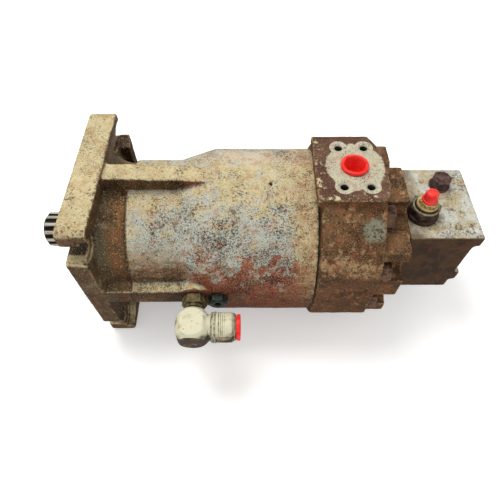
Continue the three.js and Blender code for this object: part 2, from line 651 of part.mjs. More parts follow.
function snapRing() {
  const [inner, outer, halfGap] = [40, 47.3, 0.22];
  const start = Math.PI / 2 + halfGap;
  const end = 2.5 * Math.PI - halfGap;
  const shape = new THREE.Shape();
  shape.absarc(0, 0, outer, start, end, false);
  shape.absarc(0, 0, inner, end, start, true);
  const geometry = new THREE.ExtrudeGeometry(shape, { depth: 1.7, bevelEnabled: false, curveSegments: 12 });
  geometry.translate(0, 0, BEARING_END_X + GAP);
  return solid(geometry, ACROSS_X);
}

function addShaftPieces() {
  addPart('drive_shaft', driveShaft(), steel);
  const seal = turned([
    [-10, 25], [-10, 38], [1, 38], [1, 34], [-7, 34], [-7, 27], [-1.2, 23], [-3.2, 23], [-10, 25],
  ], MEDIUM);
  addPart('shaft_seal', seal, rubber);
  addPart('front_bearing_outer', tube(35, 45, BEARING_START_X + GAP, BEARING_END_X - GAP, MEDIUM), steel);
  addPart('front_bearing_inner', tube(25.3, 30, BEARING_START_X + GAP, BEARING_END_X - GAP, MEDIUM), steel);
  addPart('front_bearing_rollers', rollerCage(32.5, 2.1, 14, 8, 29), bronze);
  addPart('bearing_snap_ring', snapRing(), steel);
  addPart('rear_bearing_outer', tube(21.1, 25.7, 262, 280, MEDIUM), steel);
  addPart('rear_bearing_rollers', rollerCage(18.6, 2, 12, 263, 279), bronze);
}

// ---------------------------------------------------------------- rotating group
const swashNormal = new THREE.Vector3(Math.cos(SWASH_ANGLE), Math.sin(SWASH_ANGLE), 0);
const swashAcross = new THREE.Vector3(-Math.sin(SWASH_ANGLE), Math.cos(SWASH_ANGLE), 0);
const ballCentre = new THREE.Vector3(BALL_PLANE_X, 0, 0);

function ballPosition(index) {
  const angle = 2 * Math.PI * index / PISTON_COUNT;
  return ballCentre.clone()
    .addScaledVector(swashAcross, BALL_CIRCLE_RADIUS * Math.cos(angle))
    .addScaledVector(Z_AXIS, BALL_CIRCLE_RADIUS * Math.sin(angle));
}

function swashplate() {
  const faceDepth = SLIPPER_DEPTH + GAP;
  const slope = Math.tan(SWASH_ANGLE);
  const faceX = BALL_PLANE_X - faceDepth / Math.cos(SWASH_ANGLE);
  const backX = SHOULDER_X + GAP;
  const wedge = polygon([[backX, -70], [faceX + 70 * slope, -70], [faceX - 70 * slope, 70], [backX, 70]]);
  const wedgePrism = prism(wedge, -75, 75, ACROSS_Z);
  return cut(wedgePrism.intersect(rod(68, 40, 115, ROUND)), rod(31, 40, 120, MEDIUM));
}

// Measured along the swash normal from the ball centre; the sole is at -SLIPPER_DEPTH.
function slipper() {
  const cupTop = 4;
  const wall = [];
  const steps = 3;
  for (let i = 0; i <= steps; i += 1) {
    const polar = THREE.MathUtils.lerp(Math.PI / 3, Math.PI, i / steps);
    wall.push([SOCKET_RADIUS * Math.cos(polar), SOCKET_RADIUS * Math.sin(polar)]);
  }
  wall[steps][1] = 0;
  return turned([
    [-SLIPPER_DEPTH, 0], [-SLIPPER_DEPTH, 13.5], [SLIPPER_FLANGE - SLIPPER_DEPTH, 13.5],
    [SLIPPER_FLANGE - SLIPPER_DEPTH, 10.4], [cupTop - 2, 10.4], [cupTop + 0.1, 9], ...wall,
  ], INNER, swashNormal);
}

function piston() {
  const ball = [];
  const steps = 4;
  const neck = Math.asin(4.4 / BALL_RADIUS);
  for (let i = 0; i <= steps; i += 1) {
    const polar = THREE.MathUtils.lerp(Math.PI, neck, i / steps);
    ball.push([BALL_RADIUS * Math.cos(polar), BALL_RADIUS * Math.sin(polar)]);
  }
  ball[0][1] = 0;
  return turned([
    ...ball, [12, 4.4], [16, PISTON_RADIUS], [PISTON_LENGTH, PISTON_RADIUS], [PISTON_LENGTH, 6.5],
    [40, 6.5], [36, 0],
  ], INNER);
}

function slipperRetainer() {
  const low = SLIPPER_FLANGE - SLIPPER_DEPTH + GAP;
  const high = low + RETAINER_THICKNESS;
  const seat = (along) => Math.sqrt((GUIDE_SPHERE_RADIUS + 0.5) ** 2 - along ** 2);
  const plate = turned([
    [low, seat(low)], [low, 60], [high, 60], [high, seat(high)], [low, seat(low)],
  ], MEDIUM, swashNormal, ballCentre.toArray());
  const holes = [];
  for (let i = 0; i < PISTON_COUNT; i += 1) {
    holes.push(rod(11.3, low - 1, high + 1, INNER, swashNormal, ballPosition(i).toArray()));
  }
  return cut(plate, ...holes);
}

function ballGuide() {
  const sphere = [];
  const steps = 3;
  for (let i = 0; i <= steps; i += 1) {
    const along = THREE.MathUtils.lerp(-15, 0, i / steps);
    sphere.push([along, Math.sqrt(GUIDE_SPHERE_RADIUS ** 2 - along ** 2)]);
  }
  const profile = [[-15, 20.6], ...sphere, [3, 27], [17, 27], [17, 20.6], [-15, 20.6]];
  return turned(profile, MEDIUM, X_AXIS, [BALL_PLANE_X, 0, 0]);
}

function cylinderBlock() {
  const body = turned([
    [BLOCK_START_X, 0], [BLOCK_START_X, BLOCK_RADIUS - 2], [BLOCK_START_X + 2, BLOCK_RADIUS],
    [BLOCK_END_X, BLOCK_RADIUS], [BLOCK_END_X, 0],
  ], MEDIUM);
  const bores = [];
  for (let i = 0; i < PISTON_COUNT; i += 1) {
    const angle = 2 * Math.PI * i / PISTON_COUNT;
    const centre = [0, BORE_CIRCLE_RADIUS * Math.cos(angle), BORE_CIRCLE_RADIUS * Math.sin(angle)];
    bores.push(rod(CYLINDER_RADIUS, BLOCK_START_X - 1, 238, INNER, X_AXIS, centre));
    bores.push(rod(6, 237, BLOCK_END_X + 1, 6, X_AXIS, centre));
  }
  const hubSpline = prism(splineShape(HUB_TEETH, 18.9, 21.4), SPRING_SEAT_X - 1, BLOCK_END_X + 1, ACROSS_X);
  return cut(body, ...bores, rod(29, BLOCK_START_X - 1, SPRING_SEAT_X, MEDIUM), hubSpline);
}

function valvePlate() {
  const shape = new THREE.Shape();
  shape.absarc(0, 0, BLOCK_RADIUS, 0, 2 * Math.PI);
  const bore = new THREE.Path();
  bore.absarc(0, 0, 24, 0, 2 * Math.PI);
  shape.holes.push(bore);
  for (const side of [1, -1]) {
    const kidney = kidneyShape(BORE_CIRCLE_RADIUS, 5.5, side * Math.PI / 2, 1.1);
    shape.holes.push(new THREE.Path(kidney.getPoints(8)));
  }
  const geometry = new THREE.ExtrudeGeometry(shape, {
    depth: VALVE_PLATE_END_X - BLOCK_END_X - GAP, bevelEnabled: false, curveSegments: 10,
  });
  geometry.translate(0, 0, BLOCK_END_X + GAP);
  return solid(geometry, ACROSS_X);
}

function addRotatingGroup() {
  addPart('swashplate', swashplate(), steel);
  addPart('slipper_retainer', slipperRetainer(), steel);
  addPart('ball_guide', ballGuide(), steel);
  addPart('cylinder_block', cylinderBlock(), steel);
  const springStart = BALL_PLANE_X + 17 + 2.3 + GAP;
  const springLength = SPRING_SEAT_X - springStart - 2.3 - GAP;
  addPart('block_spring', coil(24.6, 2.2, springLength, 5, X_AXIS, [springStart, 0, 0]), steel);
  addPart('valve_plate', valvePlate(), bronze);
  const slipperBody = slipper();
  const pistonBody = piston();
  for (let i = 0; i < PISTON_COUNT; i += 1) {
    const place = ballPosition(i).toArray();
    addPart(`slipper_${i + 1}`, slipperBody, bronze, place);
    addPart(`piston_${i + 1}`, pistonBody, steel, place);
  }
}

// ---------------------------------------------------------------- end cap joint
function addCapPieces() {
  addPart('end_cap', endCap(), capPaint);
  const [from, to] = [HOUSING_END_X + GAP, CAP_FACE_X - GAP];
  const ring = tube(SPIGOT_RADIUS + 1.3, BARREL_RADIUS - 0.9, from, to, MEDIUM);
  const holes = [];
  const bolts = [];
  for (const [ySide, zSide] of SIGNS) {
    for (const [y, z] of CAP_BOLTS) {
      const centre = [0, ySide * y, zSide * z];
      holes.push(rod(CAP_BOLT_RADIUS + 0.7, 261, 264, TINY, X_AXIS, centre));
      bolts.push(join(
        rod(CAP_BOLT_RADIUS, 240, CAP_BODY_END_X + 1, TINY, X_AXIS, centre),
        rod(14, CAP_BODY_END_X + GAP, CAP_BODY_END_X + 2, SMALL, X_AXIS, centre),
        hexHead(24, CAP_BODY_END_X + 1.5, CAP_BODY_END_X + 13, X_AXIS, centre),
      ));
    }
  }
  addPart('end_cap_gasket', cut(ring, ...holes), gasketPaper);
  bolts.forEach((bolt, index) => addPart(`end_cap_bolt_${index + 1}`, bolt, darkSteel));
}

addPart('housing', housing(), castPaint);
addCapPieces();
addPart('valve_block', valveBlock(), blockPaint);
addValvePieces();
addDrainPieces();
addShaftPieces();
addRotatingGroup();

export default unit;
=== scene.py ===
"""A heavily weathered axial piston pump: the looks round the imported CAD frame. +Z up.

Lengths are written in millimetres and scaled by MM where a mesh or a node takes metres.
"""

import math

import bpy
from mathutils import Matrix, Vector, noise


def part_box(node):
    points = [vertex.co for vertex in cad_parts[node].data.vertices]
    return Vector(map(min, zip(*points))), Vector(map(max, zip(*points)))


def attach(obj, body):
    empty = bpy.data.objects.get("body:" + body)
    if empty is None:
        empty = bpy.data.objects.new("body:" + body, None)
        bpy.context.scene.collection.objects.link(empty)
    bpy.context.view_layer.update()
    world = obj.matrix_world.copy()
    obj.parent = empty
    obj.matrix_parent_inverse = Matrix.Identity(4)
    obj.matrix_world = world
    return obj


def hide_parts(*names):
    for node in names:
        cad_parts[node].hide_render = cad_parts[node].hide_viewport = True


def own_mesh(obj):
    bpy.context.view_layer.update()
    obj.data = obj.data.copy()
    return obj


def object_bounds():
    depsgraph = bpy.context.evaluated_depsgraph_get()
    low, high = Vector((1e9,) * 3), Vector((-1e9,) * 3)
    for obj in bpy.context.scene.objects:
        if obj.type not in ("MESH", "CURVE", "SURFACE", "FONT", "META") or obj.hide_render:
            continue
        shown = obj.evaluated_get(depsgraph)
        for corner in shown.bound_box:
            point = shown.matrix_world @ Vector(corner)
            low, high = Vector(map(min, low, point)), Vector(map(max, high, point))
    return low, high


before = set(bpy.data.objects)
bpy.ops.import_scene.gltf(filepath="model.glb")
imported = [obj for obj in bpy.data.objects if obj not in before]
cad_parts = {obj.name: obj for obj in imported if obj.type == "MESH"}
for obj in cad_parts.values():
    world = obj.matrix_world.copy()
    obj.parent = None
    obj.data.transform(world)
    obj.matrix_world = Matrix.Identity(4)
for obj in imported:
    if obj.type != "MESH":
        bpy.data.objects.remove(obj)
cad_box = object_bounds()

MM = 0.001
TURN = 2 * math.pi
TAP_SPACING = (27.76, 57.15)    # the four tapped holes round a port, along and across the shaft
BOLT_OFFSET = 80.8              # each flange slot's middle from the shaft's axis, both ways
RIB_HALF_WIDTH = 11.5
BALD_SPOT = Vector((318, -66, 86))


def corners(node):
    """A CAD node's lowest and highest corners, in mm."""
    low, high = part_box(node)
    return low / MM, high / MM


def centre(node):
    low, high = corners(node)
    return (low + high) / 2


# ---------------------------------------------------------------- camera, light and floor

CAMERA_PLACE = (0.18895, -0.3255, 0.4406)
CAMERA_TILT = math.radians(33.64)
CAMERA_LENS = 30.7
SKY_COLOUR = (1, 0.99, 0.97, 1)
SKY_STRENGTH = 0.62
FLOOR_DROP = 0.5 * MM
FLOOR_HALF_WIDTH = 4.0
FLOOR_GLOW = 0.3
OBJECT_MIDDLE = (0.19, 0, 0)


def add_camera():
    camera = bpy.data.objects.new("camera", bpy.data.cameras.new("camera"))
    bpy.context.collection.objects.link(camera)
    camera.location = CAMERA_PLACE
    camera.rotation_euler = (CAMERA_TILT, 0, 0)
    camera.data.lens = CAMERA_LENS
    camera.data.clip_start = 0.01
    bpy.context.scene.camera = camera


def add_lamp(name, place, size, watts, colour):
    lamp = bpy.data.objects.new(name, bpy.data.lights.new(name, "AREA"))
    bpy.context.collection.objects.link(lamp)
    lamp.location = place
    lamp.rotation_euler = (Vector(OBJECT_MIDDLE) - Vector(place)).to_track_quat("-Z", "Y").to_euler()
    lamp.data.shape = "DISK"
    lamp.data.size = size
    lamp.data.energy = watts
    lamp.data.color = colour


def add_studio():
    world = bpy.data.worlds.new("studio")
    bpy.context.scene.world = world
    world.use_nodes = True
    sky = world.node_tree.nodes["Background"]
    sky.inputs["Color"].default_value = SKY_COLOUR
    sky.inputs["Strength"].default_value = SKY_STRENGTH
    add_lamp("key", (-0.15, 0.3, 1.3), 0.7, 13, (1, 0.98, 0.95))
    add_lamp("fill", (0.6, -0.9, 1.1), 0.9, 2, (1, 0.97, 0.93))
    bpy.context.scene.view_settings.view_transform = "Standard"

    half = FLOOR_HALF_WIDTH
    ground = cad_box[0].z - FLOOR_DROP
    mesh = bpy.data.meshes.new("floor")
    spread = [(-half, -half), (half, -half), (half, half), (-half, half)]
    mesh.from_pydata([(x, y, ground) for x, y in spread], [], [(0, 1, 2, 3)])
    floor = bpy.data.objects.new("floor", mesh)
    bpy.context.collection.objects.link(floor)
    paper = Finish("floor_paper")
    grain = paper.speckle(30, detail=2)
    paper.colour(paper.blend(grain, (0.95, 0.95, 0.95), (0.98, 0.98, 0.98)))
    paper.shader.inputs["Emission Color"].default_value = (1, 1, 1, 1)
    paper.shader.inputs["Emission Strength"].default_value = FLOOR_GLOW
    paper.shader.inputs["Roughness"].default_value = 0.9
    mesh.materials.append(paper.material)


# ---------------------------------------------------------------- material building


def tone(red, green, blue):
    """A colour seen on a screen, 0 to 255, as linear light."""
    shares = [value / 255 for value in (red, green, blue)]
    return tuple(s / 12.92 if s <= 0.04045 else ((s + 0.055) / 1.055) ** 2.4 for s in shares)


PAINT_GLOSS = 0.16


class Finish:
    """A material under construction. Each method adds nodes and returns the last one's output."""

    def __init__(self, name):
        self.material = bpy.data.materials.new(name)
        self.material.use_nodes = True
        self.nodes = self.material.node_tree.nodes
        self.links = self.material.node_tree.links
        self.shader = self.nodes["Principled BSDF"]
        self.shader.inputs["Specular IOR Level"].default_value = PAINT_GLOSS
        coordinates = self.add("ShaderNodeTexCoord").outputs
        self.place = coordinates["Object"]
        self.facing = coordinates["Normal"]
        self.relief = None

    def add(self, kind, inputs=(), **settings):
        node = self.nodes.new(kind)
        for key, value in settings.items():
            setattr(node, key, value)
        for key, value in dict(inputs).items():
            if isinstance(value, bpy.types.NodeSocket):
                self.links.new(value, node.inputs[key])
            else:
                node.inputs[key].default_value = value
        return node

    def speckle(self, size, detail=4, roughness=0.55, shift=0.0, stretch=(1, 1, 1)):
        """Cloudy noise, 0 to 1, with features of about size mm."""
        where = self.place
        if shift or stretch != (1, 1, 1):
            moved = {"Vector": where, "Location": (shift, shift, shift), "Scale": stretch}
            where = self.add("ShaderNodeMapping", moved).outputs[0]
        settings = {
            "Vector": where,
            "Scale": 1 / (size * MM),
            "Detail": detail,
            "Roughness": roughness,
        }
        return self.add("ShaderNodeTexNoise", settings).outputs["Fac"]

    def step(self, value, low, high):
        """0 below low and 1 above high, with a smooth rise, or the reverse if low is the larger."""
        turned_round = low > high
        limits = {"Value": value, "From Min": min(low, high), "From Max": max(low, high)}
        if turned_round:
            limits.update({"To Min": 1.0, "To Max": 0.0})
        return self.add("ShaderNodeMapRange", limits, interpolation_type="SMOOTHSTEP").outputs[0]

    def sum(self, first, second, operation="ADD"):
        node = self.add("ShaderNodeMath", operation=operation)
        for index, value in enumerate((first, second)):
            if isinstance(value, bpy.types.NodeSocket):
                self.links.new(value, node.inputs[index])
            else:
                node.inputs[index].default_value = value
        return node.outputs[0]

    def times(self, first, second):
        return self.sum(first, second, "MULTIPLY")

    def most(self, first, second):
        return self.sum(first, second, "MAXIMUM")

    def axes(self, vector=None):
        """The x, y and z of a vector, or of the place in metres."""
        return self.add("ShaderNodeSeparateXYZ", {"Vector": vector or self.place}).outputs

    def distance(self, first, second):
        """How far two offsets at right angles reach together."""
        both = self.add("ShaderNodeCombineXYZ", {"X": first, "Y": second}).outputs[0]
        return self.add("ShaderNodeVectorMath", {0: both}, operation="LENGTH").outputs["Value"]

    def size_of(self, value):
        """A value without its sign."""
        return self.sum(value, 0.0, "ABSOLUTE")

    def between(self, value, low, high, soft):
        """1 where value, in metres, lies between low and high mm, fading over soft mm."""
        rise = self.step(value, (low - soft) * MM, (low + soft) * MM)
        fall = self.step(value, (high + soft) * MM, (high - soft) * MM)
        return self.times(rise, fall)

    def blend(self, amount, first, second, mode="MIX"):
        node = self.add("ShaderNodeMix", data_type="RGBA", blend_type=mode)
        for index, value in ((0, amount), (6, first), (7, second)):
            if isinstance(value, bpy.types.NodeSocket):
                self.links.new(value, node.inputs[index])
            elif index:
                node.inputs[index].default_value = (*value, 1)
            else:
                node.inputs[index].default_value = value
        return node.outputs[2]

    def colour(self, value):
        self.links.new(value, self.shader.inputs["Base Color"])

    def rough(self, value, low, high):
        """Roughness from low to high as value goes from 0 to 1."""
        spread = {"Value": value, "To Min": low, "To Max": high}
        scaled = self.add("ShaderNodeMapRange", spread).outputs[0]
        self.links.new(scaled, self.shader.inputs["Roughness"])

    def raised(self, height, depth, strength=1.0):
        """Adds relief of depth mm from a height of 0 to 1, on top of any relief so far."""
        settings = {"Height": height, "Distance": depth * MM, "Strength": strength}
        if self.relief:
            settings["Normal"] = self.relief
        self.relief = self.add("ShaderNodeBump", settings).outputs[0]
        self.links.new(self.relief, self.shader.inputs["Normal"])

    def edges(self, low, high):
        """1 on raised edges and 0 elsewhere, from the mesh's own curvature."""
        return self.step(self.add("ShaderNodeNewGeometry").outputs["Pointiness"], low, high)


CREAM = tone(196, 184, 146)
OLIVE_CREAM = tone(184, 170, 130)
COOL = tone(174, 181, 174)
OLIVE = tone(112, 98, 62)
BROWN = tone(92, 68, 44)
DEEP_BROWN = tone(56, 38, 24)
PIT = tone(30, 22, 15)
RUST = tone(138, 82, 44)
PRIMER = tone(150, 76, 52)
SALMON = tone(176, 112, 86)


def pitting(paint, colour, size, cover, patch, dark=PIT, shift=0.0, swing=0.45, amount=1.0):
    """Small dark pits over a colour, thicker in some patches. Returns the new colour and the pits."""
    fine = paint.speckle(size, detail=5, roughness=0.7, shift=shift)
    thick = paint.speckle(patch, detail=2, shift=shift + 0.3)
    level = paint.sum(fine, paint.times(paint.sum(thick, 0.5, "SUBTRACT"), swing))
    if isinstance(cover, bpy.types.NodeSocket):
        level = paint.sum(level, cover)
        cover = 0.0
    pits = paint.step(level, 1 - cover - 0.02, 1 - cover + 0.05)
    return paint.blend(paint.times(pits, amount), colour, dark), pits


def with_painted_shade(paint, colour, least=0.42):
    """Colour darkened and warmed on the faces that look sideways or down: painted shade."""
    up = paint.axes(paint.facing)[2]
    light = paint.step(up, -0.35, 0.6)
    shade_tint = paint.blend(light, (least, least * 0.84, least * 0.66), (1.0, 1.0, 1.0))
    return paint.blend(1.0, colour, shade_tint, "MULTIPLY")


def cast_relief(paint, pits):
    """The fine grain of a sand casting, with its pits sunk in."""
    paint.raised(paint.speckle(1.4, detail=4, roughness=0.65), 0.35, 0.6)
    paint.raised(paint.sum(1.0, pits, "SUBTRACT"), 0.5, 0.7)


def housing_paint():
    paint = Finish("weathered_housing_paint")
    x, y, z = paint.axes()
    up = paint.axes(paint.facing)[2]
    beside = paint.size_of(y)
    above = paint.size_of(z)

    cloud = paint.speckle(34, detail=6, roughness=0.64)
    cloudy = paint.times(paint.sum(cloud, 0.5, "SUBTRACT"), 1.1)
    neck = paint.between(x, 30, 112, 12)
    level = paint.sum(paint.sum(up, cloudy), paint.times(neck, 0.28), "SUBTRACT")
    lit = paint.step(level, -0.05, 0.55)
    tint = paint.step(paint.speckle(20, detail=7, roughness=0.7, shift=4.9), 0.42, 0.62)
    pale = paint.blend(tint, CREAM, OLIVE_CREAM)
    colour = paint.blend(lit, BROWN, pale)

    radius = paint.distance(y, z)
    taper = paint.times(paint.most(paint.sum(x, 0.106, "SUBTRACT"), 0.0), 0.42)
    skin = paint.step(paint.sum(radius, taper, "SUBTRACT"), 0.0895, 0.088)
    worn = paint.speckle(15, detail=9, roughness=0.76, shift=1.7)
    height = paint.sum(up, paint.times(paint.sum(worn, 0.5, "SUBTRACT"), 1.3))
    grey = paint.times(paint.step(height, 1.02, 0.8), paint.between(x, 57, 236, 7))
    patchy = paint.step(paint.speckle(24, detail=7, roughness=0.7, shift=8.8), 0.36, 0.45)
    grey = paint.times(paint.times(grey, lit), paint.times(skin, patchy))
    colour = paint.blend(paint.times(grey, 0.9), colour, COOL)
    rose = paint.times(paint.between(z, 88, 104, 6), paint.between(y, 20, 90, 10))
    colour = paint.blend(paint.times(rose, 0.35), colour, tone(206, 186, 176))

    bare = paint.speckle(14, detail=9, roughness=0.78, shift=3.1)
    below = paint.times(paint.step(up, 0.94, 0.15), 0.22)
    red = paint.step(paint.sum(bare, below), 0.60, 0.68)
    middle = paint.between(x, 116, 250, 20)
    colour = paint.blend(paint.times(paint.times(red, middle), 0.92), colour, PRIMER)
    spots = paint.step(paint.speckle(11, detail=9, roughness=0.78, shift=5.3), 0.5, 0.66)
    colour = paint.blend(paint.times(spots, 0.55), colour, SALMON)
    ochre = paint.step(paint.speckle(16, detail=7, roughness=0.7, shift=13.3), 0.5, 0.66)
    colour = paint.blend(paint.times(ochre, 0.5), colour, tone(164, 124, 78))

    streak = paint.speckle(12, detail=8, roughness=0.74, shift=7.7, stretch=(1, 0.6, 0.45))
    stains = paint.step(streak, 0.5, 0.66)
    low = paint.step(up, 0.75, 0.0)
    share = paint.sum(paint.times(low, 0.65), 0.2)
    colour = paint.blend(paint.times(stains, share), colour, OLIVE)

    joint = paint.between(x, 238, 263, 8)
    scatter = paint.step(paint.speckle(8, detail=8, roughness=0.74, shift=9.1), 0.4, 0.64)
    colour = paint.blend(paint.times(paint.times(joint, scatter), 0.6), colour, RUST)

    hoop = paint.between(x, 22.5, 54, 2)
    inside_hoop = paint.times(hoop, paint.step(above, 0.094, 0.086))
    smear = paint.step(paint.speckle(16, detail=7, roughness=0.7, shift=11.9), 0.22, 0.46)
    warm = paint.step(x, 0.026, 0.042)
    wash = paint.blend(warm, tone(92, 84, 66), tone(128, 84, 46))
    wash = paint.blend(paint.step(cloud, 0.42, 0.62), wash, tone(84, 64, 42))
    colour = paint.blend(paint.times(inside_hoop, paint.times(smear, 0.94)), colour, wash)
    # A painted shadow: a dark brown line round the step where the barrel starts, left off the ribs.
    step_shadow = paint.between(x, 51.5, 54.8, 1.2)
    off_rib = paint.step(beside, RIB_HALF_WIDTH * MM, (RIB_HALF_WIDTH + 1.5) * MM)
    colour = paint.blend(paint.times(paint.times(step_shadow, off_rib), 0.85), colour, DEEP_BROWN)

    slot_centre = BOLT_OFFSET * MM
    across = paint.sum(beside, slot_centre, "SUBTRACT")
    from_slot = paint.distance(across, paint.sum(above, slot_centre, "SUBTRACT"))
    on_flange = paint.between(x, -1, 24, 1.5)
    shade = paint.times(paint.step(from_slot, 0.0122, 0.0108), on_flange)
    colour = paint.blend(paint.times(shade, 0.9), colour, PIT)
    rim = paint.times(paint.step(from_slot, 0.0185, 0.0195), paint.step(from_slot, 0.0222, 0.0208))
    rim = paint.times(rim, paint.between(x, 19, 24, 1))
    colour = paint.blend(paint.times(rim, 0.7), colour, DEEP_BROWN)
    dark_far = paint.times(paint.between(x, -5, 40, 2), paint.step(y, 0.078, 0.084))
    dark_far = paint.times(dark_far, paint.step(above, 0.088, 0.08))
    colour = paint.blend(paint.times(dark_far, 0.8), colour, tone(66, 48, 38))

    edge_noise = paint.step(paint.speckle(7, detail=5, roughness=0.7, shift=6.1), 0.44, 0.54)
    raised_edge = paint.edges(0.513, 0.55)
    edge_colour = paint.blend(edge_noise, DEEP_BROWN, tone(206, 190, 148))
    colour = paint.blend(paint.times(raised_edge, 0.7), colour, edge_colour)
    grooves = paint.edges(0.488, 0.45)
    colour = paint.blend(paint.times(grooves, 0.85), colour, PIT)

    body = paint.between(x, 90, 238, 25)
    around = paint.times(paint.times(body, paint.step(up, 1.0, 0.75)), 0.075)
    on_rib = paint.times(paint.step(skin, 1.0, 0.0), paint.between(x, 30, 120, 5))
    cover = paint.sum(paint.sum(around, paint.times(on_rib, 0.05)), 0.375)
    colour, coarse = pitting(paint, colour, 2.6, 0.4, 30, DEEP_BROWN, amount=0.75)
    colour, fine = pitting(paint, colour, 1.5, cover, 22, PIT, shift=2.2, swing=0.36, amount=0.88)
    colour, _ = pitting(paint, colour, 1.1, 0.43, 40, tone(70, 54, 38), shift=3.7, swing=0.3, amount=0.8)
    flecks = paint.step(paint.speckle(1.5, detail=4, roughness=0.7, shift=12.2), 0.58, 0.64)
    colour = paint.blend(paint.times(flecks, 0.6), colour, tone(222, 206, 168))
    paint.colour(with_painted_shade(paint, colour))
    paint.rough(paint.speckle(6, detail=3), 0.62, 0.95)
    cast_relief(paint, paint.most(coarse, fine))
    return paint.material


def cap_paint():
    paint = Finish("weathered_cap_paint")
    x, y, z = paint.axes()
    up = paint.axes(paint.facing)[2]
    cloud = paint.speckle(30, detail=7, roughness=0.68)
    mixed = paint.step(cloud, 0.42, 0.6)
    colour = paint.blend(mixed, tone(84, 60, 38), tone(116, 86, 58))

    crease = paint.times(paint.between(z, 43, 60, 5), paint.step(x, 0.345, 0.33))
    patchy = paint.sum(paint.speckle(9, detail=8, roughness=0.74, shift=2.9), paint.times(crease, 0.09))
    worn = paint.step(patchy, 0.53, 0.64)
    colour = paint.blend(paint.times(worn, 0.7), colour, tone(176, 146, 108))
    red = paint.step(paint.speckle(13, detail=8, roughness=0.72, shift=4.1), 0.53, 0.62)
    low = paint.step(z, 0.045, 0.03)
    share = paint.sum(paint.times(low, 0.5), 0.35)
    colour = paint.blend(paint.times(red, share), colour, tone(160, 88, 62))
    rust = paint.step(paint.speckle(7, detail=8, roughness=0.74, shift=8.3), 0.56, 0.66)
    colour = paint.blend(paint.times(rust, 0.6), colour, RUST)
    grain = paint.speckle(5, detail=5, roughness=0.6, shift=6.9, stretch=(0.15, 1, 1))
    side = paint.times(low, paint.step(grain, 0.45, 0.6))
    colour = paint.blend(paint.times(side, 0.5), colour, tone(96, 62, 44))

    spot = BALD_SPOT * MM
    apart = paint.add("ShaderNodeVectorMath", {0: paint.place, 1: spot}, operation="DISTANCE")
    offset = apart.outputs["Value"]
    ragged = paint.sum(paint.speckle(8, detail=6, roughness=0.7, shift=1.3), 0.5, "SUBTRACT")
    ragged = paint.times(ragged, 0.02)
    bald = paint.step(paint.sum(offset, ragged), 0.0165, 0.007)
    colour = paint.blend(paint.times(bald, 0.8), colour, tone(136, 140, 120))

    on_pad = paint.times(paint.step(z, 0.105, 0.1115), paint.step(up, 0.8, 0.95))
    plum = paint.blend(mixed, tone(84, 58, 48), tone(112, 86, 70))
    colour = paint.blend(paint.times(on_pad, 0.95), colour, plum)
    chips = paint.step(paint.speckle(8, detail=7, roughness=0.72, shift=6.6), 0.55, 0.6)
    far_from_port = paint.most(paint.step(x, 0.272, 0.262), paint.step(y, -0.033, -0.043))
    colour = paint.blend(paint.times(on_pad, paint.times(chips, far_from_port)), colour, CREAM)

    bare = machined_patch(paint, x, y, z)
    grain = paint.speckle(2.5, detail=5, roughness=0.65, stretch=(1, 0.3, 1))
    metal = paint.blend(grain, tone(158, 152, 124), tone(208, 204, 182))
    tint = paint.step(paint.speckle(12, detail=5, shift=1.1), 0.5, 0.66)
    metal = paint.blend(paint.times(tint, 0.5), metal, tone(176, 138, 116))
    colour = paint.blend(bare, colour, metal)

    edge_noise = paint.step(paint.speckle(7, detail=5, roughness=0.7, shift=6.1), 0.46, 0.56)
    edge_colour = paint.blend(edge_noise, DEEP_BROWN, tone(186, 164, 124))
    colour = paint.blend(paint.times(paint.edges(0.515, 0.56), 0.7), colour, edge_colour)
    colour = paint.blend(paint.times(paint.edges(0.488, 0.45), 0.8), colour, PIT)
    colour, coarse = pitting(paint, colour, 3.4, 0.38, 40, DEEP_BROWN, amount=0.8)
    colour, fine = pitting(paint, colour, 1.6, 0.39, 30, PIT, shift=2.2, amount=0.85)
    colour, _ = pitting(paint, colour, 1.1, 0.42, 40, DEEP_BROWN, shift=3.7, swing=0.3, amount=0.7)
    flecks = paint.step(paint.speckle(1.5, detail=4, roughness=0.7, shift=12.2), 0.57, 0.64)
    flecks = paint.times(flecks, paint.step(bare, 0.6, 0.2))
    colour = paint.blend(paint.times(flecks, 0.5), colour, tone(186, 152, 116))
    paint.colour(with_painted_shade(paint, colour, least=0.6))
    paint.rough(bare, 0.85, 0.42)
    cast_relief(paint, paint.most(coarse, fine))
    return paint.material


def machined_patch(paint, x, y, z):
    """1 on the bare machined ground round a pad's port and its four tapped holes."""
    hole_x, hole_y = TAP_SPACING[0] / 2, TAP_SPACING[1] / 2
    along_pad = paint.sum(x, centre("port_plug").x * MM, "SUBTRACT")
    beside = paint.sum(paint.size_of(along_pad), hole_x * MM, "SUBTRACT")
    across = paint.sum(paint.size_of(y), hole_y * MM, "SUBTRACT")

    shift, half_x, half_y = 1, 31, 34
    moved = paint.times(paint.sum(along_pad, shift * MM, "SUBTRACT"), 1 / half_x)
    oval = paint.times(paint.distance(moved, paint.times(y, 1 / half_y)), 1 / MM)
    ragged = paint.times(paint.sum(paint.speckle(6, detail=5, roughness=0.66), 0.5, "SUBTRACT"), 0.3)
    round_port = paint.step(paint.sum(oval, ragged), 1.03, 0.97)
    from_hole = paint.distance(beside, across)
    round_hole = paint.step(paint.sum(from_hole, paint.times(ragged, 4 * MM)), 0.0104, 0.0098)
    pad_top = corners("end_cap")[1].z
    top = paint.step(z, (pad_top - 1.5) * MM, (pad_top - 0.9) * MM)
    return paint.times(paint.most(round_port, round_hole), top)


